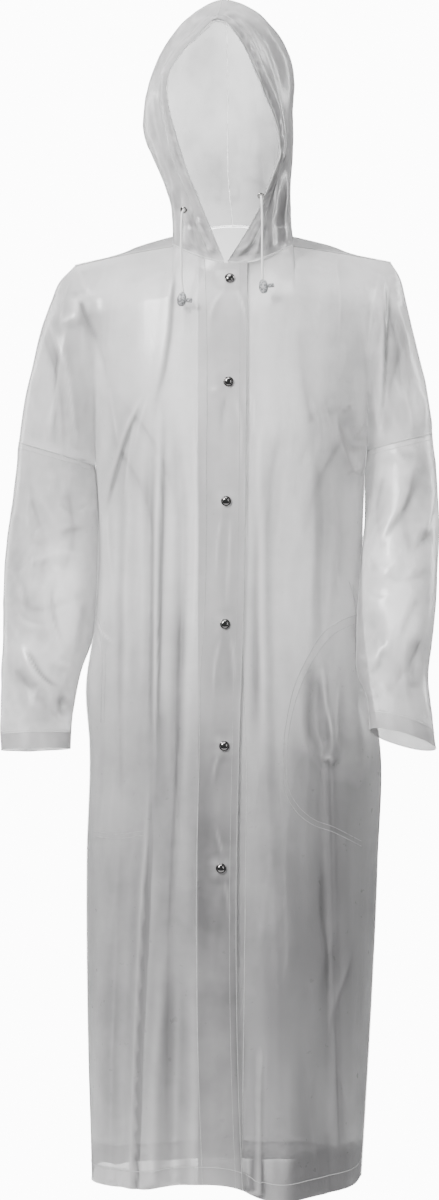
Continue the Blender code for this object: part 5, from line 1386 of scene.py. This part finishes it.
# ---------------------------------------------------------------- sleeves
for side, name in ((-1, "right"), (1, "left")):
    f, b = grids[name]["arms0"][0], grids["back_" + name]["arms0"][0]
    first = np.concatenate([f, b[::-1][1:-1]]) + np.array([0, 0, -2 * GAP])
    first[0, 1] = 0.0
    first[len(f) - 1, 1] = 0.0
    a = np.concatenate([np.linspace(0, np.pi, len(f)), np.linspace(np.pi, 2 * np.pi, len(b))[1:-1]])
    first[:, 0] += side * 0.8 * (1 + np.cos(a))
    t = SLEEVE[side]
    share = np.linspace(0, 1, RINGS + 1)
    rows = []
    for k, z in enumerate(t["z"][0] + (t["z"][-1] - t["z"][0]) * share):
        col = {c: float(smooth(t["z"], t[c], z)) for c in ("inner", "outer", "y", "deep", "rise", "tilt")}
        cx, hw = (col["inner"] + col["outer"]) / 2, (col["outer"] - col["inner"]) / 2
        ring = np.stack([cx - hw * np.cos(a), col["y"] - col["deep"] * np.sin(a),
                         z - col["rise"] / 2 * np.cos(a) - col["tilt"] / 2 * np.sin(a)], -1)
        m = float(step(share[k] / 0.12)) if k else 0.0
        rows.append(first * (1 - m) + ring * m)
    rows = np.array(rows)
    closed = np.concatenate([rows, rows[:, :1]], axis=1)[::-1]
    sheet = Sheet()
    sheet.grid(closed, flip=side < 0)
    sheet.crease(f"arm_{name}", [tuple(p) for p in closed[-1]], reach=22.0)
    obj = make(f"film_sleeve_{name}", sheet.points, sheet.faces, FILM_SLEEVE, marks=dict(crest=sheet.crest, steep=sheet.steep, shade=sheet.shade, veil=sheet.veil))
    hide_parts(f"sleeve_{name}")
    r = sheet.rows(0)
    grids["sleeve_" + name] = dict(obj=obj, rows=r)
    sgn = side
    wrap = lambda rr, amt: np.concatenate([offset(np.concatenate([rr[:, -2:-1], rr, rr[:, 1:2]], 1), amt * sgn)[:, 1:-2],
                                           offset(np.concatenate([rr[:, -2:-1], rr, rr[:, 1:2]], 1), amt * sgn)[:, 1:2]], 1)
    edges.append(bead("", r[0], 0.5, None))
    outer = wrap(r, 0.25)
    lines.append(bead("", level(outer, 20.0), 0.45, None, squash=0.5))
    lines.append(bead("", level(outer, 23.0), 0.3, None, squash=0.5))
    lines.append(bead("", r[-1] + np.array([0, 0, 0.3]), 0.9, None))
    lines.append(bead("", level(outer[::-1], 7.0), 0.35, None, squash=0.5))
    lines.append(bead("", r[:, 0], 0.7, None))
    k = upto(r, 20.0)
    band = wrap(r[:k], -1.2)
    grids["sleeve_" + name]["hem"] = patch(f"cuff_hem_{name}", band, FILM_HEM, flip=side < 0)

# ---------------------------------------------------------------- hood
THROAT = -5.0         # the wearer's left half reaches across the throat


def arch_curve(k, n):
    """Points of hood section k from the left neck seam over the top to the right."""
    h = {c: HOOD[c][k] for c in HOOD}
    ang = h["angle"]
    if k == len(HOOD["angle"]) - 1:
        th = np.linspace(-ang, -180, n // 2 + 1)
        pts = np.concatenate([neck(th), neck(-th)[::-1][1:]])
        pts[:, 2] += NECK_GAP
        return pts
    bl, br = neck(-ang), neck(ang if k else THROAT)
    bl[2] += NECK_GAP
    br[2] += NECK_GAP
    keys = [bl]
    for side in ("l", "r"):
        seq = []
        b = bl if side == "l" else br
        for share, c in zip(HOOD_SHARE, ("low", "cheek", "temple", "crown")):
            y = b[1] + (h["top_y"] - b[1]) * share + h["bow_y"] * math.sin(math.pi * share)
            z = b[2] + (h["top_z"] - b[2]) * share
            seq.append(np.array([h[f"{c}_{side}"], y, z]))
        if side == "l":
            keys += seq
            keys.append(np.array([h["top_x"], h["top_y"], h["top_z"]], float))
            top = len(keys) - 1
        else:
            keys += seq[::-1]
    keys.append(br)
    keys = np.array(keys)
    d = np.concatenate([[0], np.cumsum(np.linalg.norm(np.diff(keys, axis=0), axis=1))])
    t = np.concatenate([np.linspace(0, d[top], n // 2 + 1), np.linspace(d[top], d[-1], n // 2 + 1)[1:]])
    return np.stack([smooth(d, keys[:, c], t) for c in range(3)], -1)


def hood_grid(n, rows):
    arches = np.array([arch_curve(k, n) for k in range(len(HOOD["angle"]))])
    k = np.arange(len(arches), dtype=float)
    u = np.linspace(0, len(arches) - 1, rows + 1)
    grid = np.stack([[smooth(k, arches[:, j, c], u) for j in range(arches.shape[1])]
                     for c in range(3)], -1).transpose(1, 0, 2)
    left_, right_ = (smooth(k, (a0,) + HOOD["angle"][1:], u) for a0 in (HOOD["angle"][0], THROAT))
    for i in range(len(u)):
        for j, t in ((0, -left_[i]), (-1, right_[i])):
            p = neck(t)
            p[2] += NECK_GAP
            grid[i, j] = p
    return grid


def across(g, wides):
    """Rows at set distances from the hood's face edge, on the hood's own surface."""
    run = np.cumsum(np.linalg.norm(np.diff(g, axis=0), axis=-1), axis=0)
    run = np.concatenate([np.zeros((1, g.shape[1])), run])
    return np.array([[[np.interp(w, run[:, j], g[:, j, c]) for c in range(3)]
                      for j in range(g.shape[1])] for w in wides])


g0 = hood_grid(ARCH, HOOD_ROWS)
mid = ARCH // 2
run = np.concatenate([np.zeros((1, g0.shape[1])), np.cumsum(np.linalg.norm(np.diff(g0, axis=0), axis=-1), axis=0)])
arc = np.concatenate([[0], np.cumsum(np.linalg.norm(np.diff(g0[4], axis=0), axis=-1))])
band = np.clip(1 - np.abs(run / CASING - 0.5) * 2, 0, 1)
gather = noise(np.stack([np.broadcast_to(arc / 5.0, run.shape).ravel(), run.ravel() / 26.0, np.zeros(run.size)], -1), 51).reshape(run.shape)
puff = step(band * 1.6) * (0.9 + 0.6 * gather) - 0.5 * np.exp(-((run - CASING) / 1.6) ** 2)
ends = step(np.minimum(arc, arc[-1] - arc) / 14.0)
g0 = offset(g0, puff * ends[None, :])
sheet = Sheet()
sheet.grid(g0)
pins = [tuple(np.array(CORD[s][0], float) + np.array([dx, 0, dz])) for s in (-1, 1) for dx in (-4, 0, 4) for dz in (-4, 0, 4)]
sheet.crease("hood", [tuple(p) for p in g0[:, 0]] + [tuple(p) for p in g0[:, -1]] + [tuple(p) for p in g0[-1]] + pins, reach=12.0)
hood = sheet.rows(0)
hood_marks = {k: getattr(sheet, k)[sheet.grids[0]] for k in ("crest", "steep", "shade", "veil")}
for name, cols, shift in (("right", slice(0, mid + 1), -0.6), ("left", slice(mid, None), 0.6)):
    part = hood[:, cols].copy()
    part[:, -1 if shift < 0 else 0, 0] += shift
    half = Sheet()
    half.grid(part)
    marks = {k: np.zeros(len(half.points)) for k in hood_marks}
    for k, values in hood_marks.items():
        marks[k][half.grids[0]] = values[:, cols]
    obj = make(f"film_hood_{name}", half.points, half.faces, FILM_HOOD, marks=marks)
    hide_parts(f"hood_{name}")
    grids["hood_" + name] = dict(obj=obj)
wides = np.linspace(0.8, CASING - 0.8, 11)
rows = across(hood, wides)
nrm = offset(rows, 1.0) - rows
depths = 0.7 + (CORD_D + 4.0) * np.sin(np.pi * (wides / CASING)) ** 0.8
inner = rows - nrm * (WALL + GAP + depths)[:, None, None]
obj = patch("film_casing", inner[:, 2:-2], FILM_INNER)
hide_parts("hood_casing")
grids["casing"] = dict(obj=obj)
base = across(hood, (CASING / 2,))[0]
m_n = nrm[5]
path = along(slack((base - m_n * (WALL + 1.5 + CORD_D / 2))[4:-4], 5.0), 60)
obj = braid("drawstring_inside", path, CORD_D / 2, COTTON)
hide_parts("drawstring")
out_hood = offset(hood, 0.3)
edges.append(bead("", hood[0], 0.6, None))
lines.append(bead("", across(out_hood, (CASING,))[0][2:-2], 0.45, None, squash=0.5))
lines.append(bead("", across(out_hood, (3.0,))[0][2:-2], 0.3, None, squash=0.5))
lines.append(bead("", out_hood[:, mid], 0.7, None))
for ang0, ang1 in ((-180, -9), (THROAT, 180)):
    th = np.linspace(ang0, ang1, 90)
    ringp = neck(th) + np.array([0, 0, 1.2])
    outw = neck(th) - np.array([NECK["x"], 0, 0])
    outw[:, 2] = 0
    outw /= np.linalg.norm(outw, axis=1, keepdims=True)
    lines.append(bead("", ringp + outw * 0.4, 1.0, None))

# ---------------------------------------------------------------- pockets
POCKET_KEYS = (np.array(POCKET["z"], float), np.array(POCKET["reach"], float))
for side, name in ((-1, "right"), (1, "left")):
    g = grids[name]
    inner = offset(g["torso"], -(LAYER + 2.4) * side)
    col = inner[:, COLS // 2, 2]
    rows, outline = [], []
    for z in np.linspace(POCKET["z"][0], POCKET["z"][-1], int(110 * FINE)):
        reach = float(smooth(*POCKET_KEYS, z))
        i = int(np.clip(np.searchsorted(col, z) - 1, 0, len(col) - 2))
        t = (z - col[i]) / (col[i + 1] - col[i])
        line = inner[i] * (1 - t) + inner[i + 1] * t
        edge = (line[-1, 0] - side * 7.0) * side
        lx = line[:, 0] * side
        x = np.linspace(edge - reach, edge, int(64 * FINE)) * side
        rows.append(np.stack([x, np.interp(x * side, lx, line[:, 1]), np.interp(x * side, lx, line[:, 2])], -1))
        face = g["torso"][i] * (1 - t) + g["torso"][i + 1] * t
        outline.append([np.interp(edge - reach, face[:, 0] * side, face[:, c]) for c in range(3)])
    obj = patch(f"film_pocket_{name}", np.array(rows), FILM_INNER, flip=side < 0)
    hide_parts(f"pocket_{name}")
    grids["pocket_" + name] = dict(obj=obj)


def caster(obj):
    me = obj.data
    verts = [v.co * 1000 for v in me.vertices]
    return BVHTree.FromPolygons(verts, [tuple(p.vertices) for p in me.polygons])


def laid(tree, points, out=0.25, n=60):
    """A line seen at these points of the plane y = 0, laid on a piece."""
    hits, norms = [], []
    eye = Vector(VIEW)
    for u, w in curve_through(points, n):
        d = (Vector((u, 0, w)) - eye).normalized()
        at, nv, _, _ = tree.ray_cast(eye, d)
        if at is None:
            continue
        if nv.dot(d) > 0:
            nv = -nv
        hits.append(np.array(at) + np.array(nv) * out)
        norms.append(np.array(nv))
    return np.array(hits), np.array(norms)


TREES = {k: caster(grids[k]["obj"]) for k in ("right", "left", "sleeve_right", "sleeve_left", "hood_right", "hood_left")}
LAID = (
    ("left", 0.55, 0.5, (168.5, -493.6), (154.4, -498.2), (126.7, -514.9), (103.1, -549.9), (87.9, -581.9), (78.4, -618.4), (73.4, -648.9), (71.9, -679.3), (74.6, -717.4)),
    ("left", 0.45, 0.5, (168.5, -504.3), (141.1, -516.5), (112.6, -549.9), (92.4, -591.8), (81, -633.7), (76.5, -671.7), (77.2, -717.4)),
    ("left", 0.5, 0.5, (70.4, -708.5), (76.2, -728.5), (88.6, -749.3), (110.5, -766.7), (135.2, -775.5), (157.8, -786.4), (173.1, -794.4)),
    ("left", 0.45, 0.5, (76.2, -708.5), (81.3, -726), (93, -744.2), (112.6, -760.2), (135.9, -768.9), (157.8, -779.8), (173.1, -787.9)),
    ("left", 0.6, 0.6, (157.1, -450.3), (163.2, -470.1), (165.5, -527.1), (166.2, -569)),
    ("left", 0.45, 0.6, (162.1, -454.8), (168.5, -473.9), (170, -527.1), (169.3, -569)),
    ("right", 0.5, 0.5, (-174.2, -776.2), (-145.1, -779.1), (-110.1, -774.7)),
    ("right", 0.45, 0.5, (-174.2, -782), (-145.1, -784.9), (-110.1, -780.6)),
    ("right", 0.5, 0.6, (-173.9, -495.9), (-165.5, -523.3), (-163.2, -557.6), (-164.4, -595.6), (-165.1, -633.7)),
    ("right", 0.4, 0.6, (-169.3, -496.7), (-161, -523.3), (-158.7, -557.6), (-160.2, -595.6), (-161, -633.7)),
)
drawn = []
for on, radius, squash, *points in LAID:
    p, nv = laid(TREES[on], points)
    if len(p) > 3:
        drawn.append(bead("", p, radius, None, squash=squash, normals=nv))

seam_lines = beads("welded_lines", lines, WELD)
cut_edges = beads("cut_edges", edges, EDGE)
pocket_lines = beads("pocket_lines", drawn, weld("pocket_weld", 0.5, 0.66))

# ---------------------------------------------------------------- snaps
for k, (x, z) in enumerate(zip(SNAP_X, SNAP_Z), 1):
    p, n = form_point(x, z, 0.35)
    cap = [(0, 3.55), (1.2, 3.5), (2.5, 3.3), (3.6, 2.95), (4.4, 2.45), (4.9, 1.9), (5.1, 1.5), (5.25, 1.35), (5.5, 1.42),
           (5.9, 1.5), (6.25, 1.35), (6.5, 1.0), (6.6, 0.6), (6.5, 0.2), (6.2, 0.0), (0, 0)]
    obj = turned(f"snap_dome_{k}", cap, p, n, STEEL, 56, smooth_angle=50)
    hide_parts(f"snap_cap_{k}")
    p, n = form_point(x, z, -(UNDER + LAYER + WALL + 1.4))
    disc = [(0, 1.5), (1.6, 1.5), (1.9, 1.2), (2.6, 1.1), (3.0, 1.35), (4.0, 1.3), (5.0, 0.9), (5.5, 0.5), (5.6, 0.25), (5.5, 0), (0, 0)]
    obj = turned(f"snap_back_{k}", disc, p, -n, STEEL, 40, smooth_angle=50)
    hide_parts(f"snap_stud_{k}")

# ---------------------------------------------------------------- cut sizes
# each sheet before it was made up: flat width and length, flat area, the bands on it
CUTS = dict(
    film_front_right=(0.42, 1.26, 0.335, ("hem_front_right",)),
    film_front_left=(0.44, 1.27, 0.362, ("hem_front_left",)),
    film_back=(0.85, 1.26, 0.635, ("hem_back_right", "hem_back_left")),
    film_sleeve_right=(0.33, 0.41, 0.127, ("cuff_hem_right",)),
    film_sleeve_left=(0.31, 0.41, 0.115, ("cuff_hem_left",)),
    film_hood_right=(0.27, 0.36, 0.079, ()),
    film_hood_left=(0.27, 0.36, 0.079, ()),
    film_casing=(0.022, 0.66, 0.012, ()),
    film_facing_right=(0.063, 1.18, 0.058, ()),
    film_facing_left=(0.067, 1.18, 0.066, ()),
    film_pocket_right=(0.125, 0.29, 0.030, ()),
    film_pocket_left=(0.125, 0.29, 0.030, ()),
)
for name, (wide, long_, area, bands) in CUTS.items():
    [bpy.data.objects[k] for k in bands]

# ---------------------------------------------------------------- the studio
def world():
    w = bpy.data.worlds.new("studio")
    w.use_nodes = True
    nt = w.node_tree
    bg = nt.nodes["Background"]
    bg.inputs["Color"].default_value = (1, 1, 1, 1)
    bg.inputs["Strength"].default_value = BACKDROP
    dim = nt.nodes.new("ShaderNodeBackground")
    dim.inputs["Color"].default_value = (0.96, 0.98, 1.0, 1)
    dim.inputs["Strength"].default_value = AMBIENT
    path_ = nt.nodes.new("ShaderNodeLightPath")
    mix = nt.nodes.new("ShaderNodeMixShader")
    nt.links.new(path_.outputs["Is Camera Ray"], mix.inputs["Fac"])
    nt.links.new(dim.outputs[0], mix.inputs[1])
    nt.links.new(bg.outputs[0], mix.inputs[2])
    nt.links.new(mix.outputs[0], nt.nodes["World Output"].inputs["Surface"])
    bpy.context.scene.world = w


def softbox(name, at, look, size, power, colour=(1, 1, 1)):
    data = bpy.data.lights.new(name, "AREA")
    data.shape = "RECTANGLE"
    data.size, data.size_y = size
    data.energy = power
    data.color = colour
    obj = bpy.data.objects.new(name, data)
    obj.location = at
    obj.rotation_euler = (Vector(look) - Vector(at)).to_track_quat("-Z", "Y").to_euler()
    bpy.context.scene.collection.objects.link(obj)
    return obj


def floor(name, radius, z):
    """A round, plain, pale floor under the coat, where the wearer would stand."""
    steps = 96
    rim = [(radius * math.cos(2 * math.pi * k / steps), radius * math.sin(2 * math.pi * k / steps), z) for k in range(steps)]
    me = bpy.data.meshes.new(name)
    me.from_pydata(rim, [], [list(range(steps))])
    m, nt, b = nodes_of("floor_pale")
    v = coords(nt)
    n = tex(nt, "ShaderNodeTexNoise", 3.0, 2.0, 0.5, v)
    nt.links.new(mix_colour(nt, n.outputs["Fac"], (0.80, 0.80, 0.80), (0.84, 0.84, 0.84)), b.inputs["Base Color"])
    b.inputs["Roughness"].default_value = 0.8
    me.materials.append(m)
    obj = bpy.data.objects.new(name, me)
    bpy.context.scene.collection.objects.link(obj)


BACKDROP, AMBIENT = 12.0, 0.13
world()
floor("floor", 1.15, -1.46)
softbox("key", (-2.0, -2.2, 1.5), (0, 0, -0.3), (0.8, 1.6), 186)
softbox("fill", (1.9, -3.0, 0.3), (0, 0, -0.5), (0.6, 1.8), 22)
softbox("top", (-0.3, -0.6, 2.2), (0, 0, -0.4), (1.4, 1.4), 60)
softbox("rim_right", (2.0, 0.9, 0.6), (0.1, 0, -0.3), (0.4, 2.0), 40)
softbox("rim_left", (-2.0, 1.4, 0.4), (-0.1, 0, -0.3), (0.4, 2.0), 24)
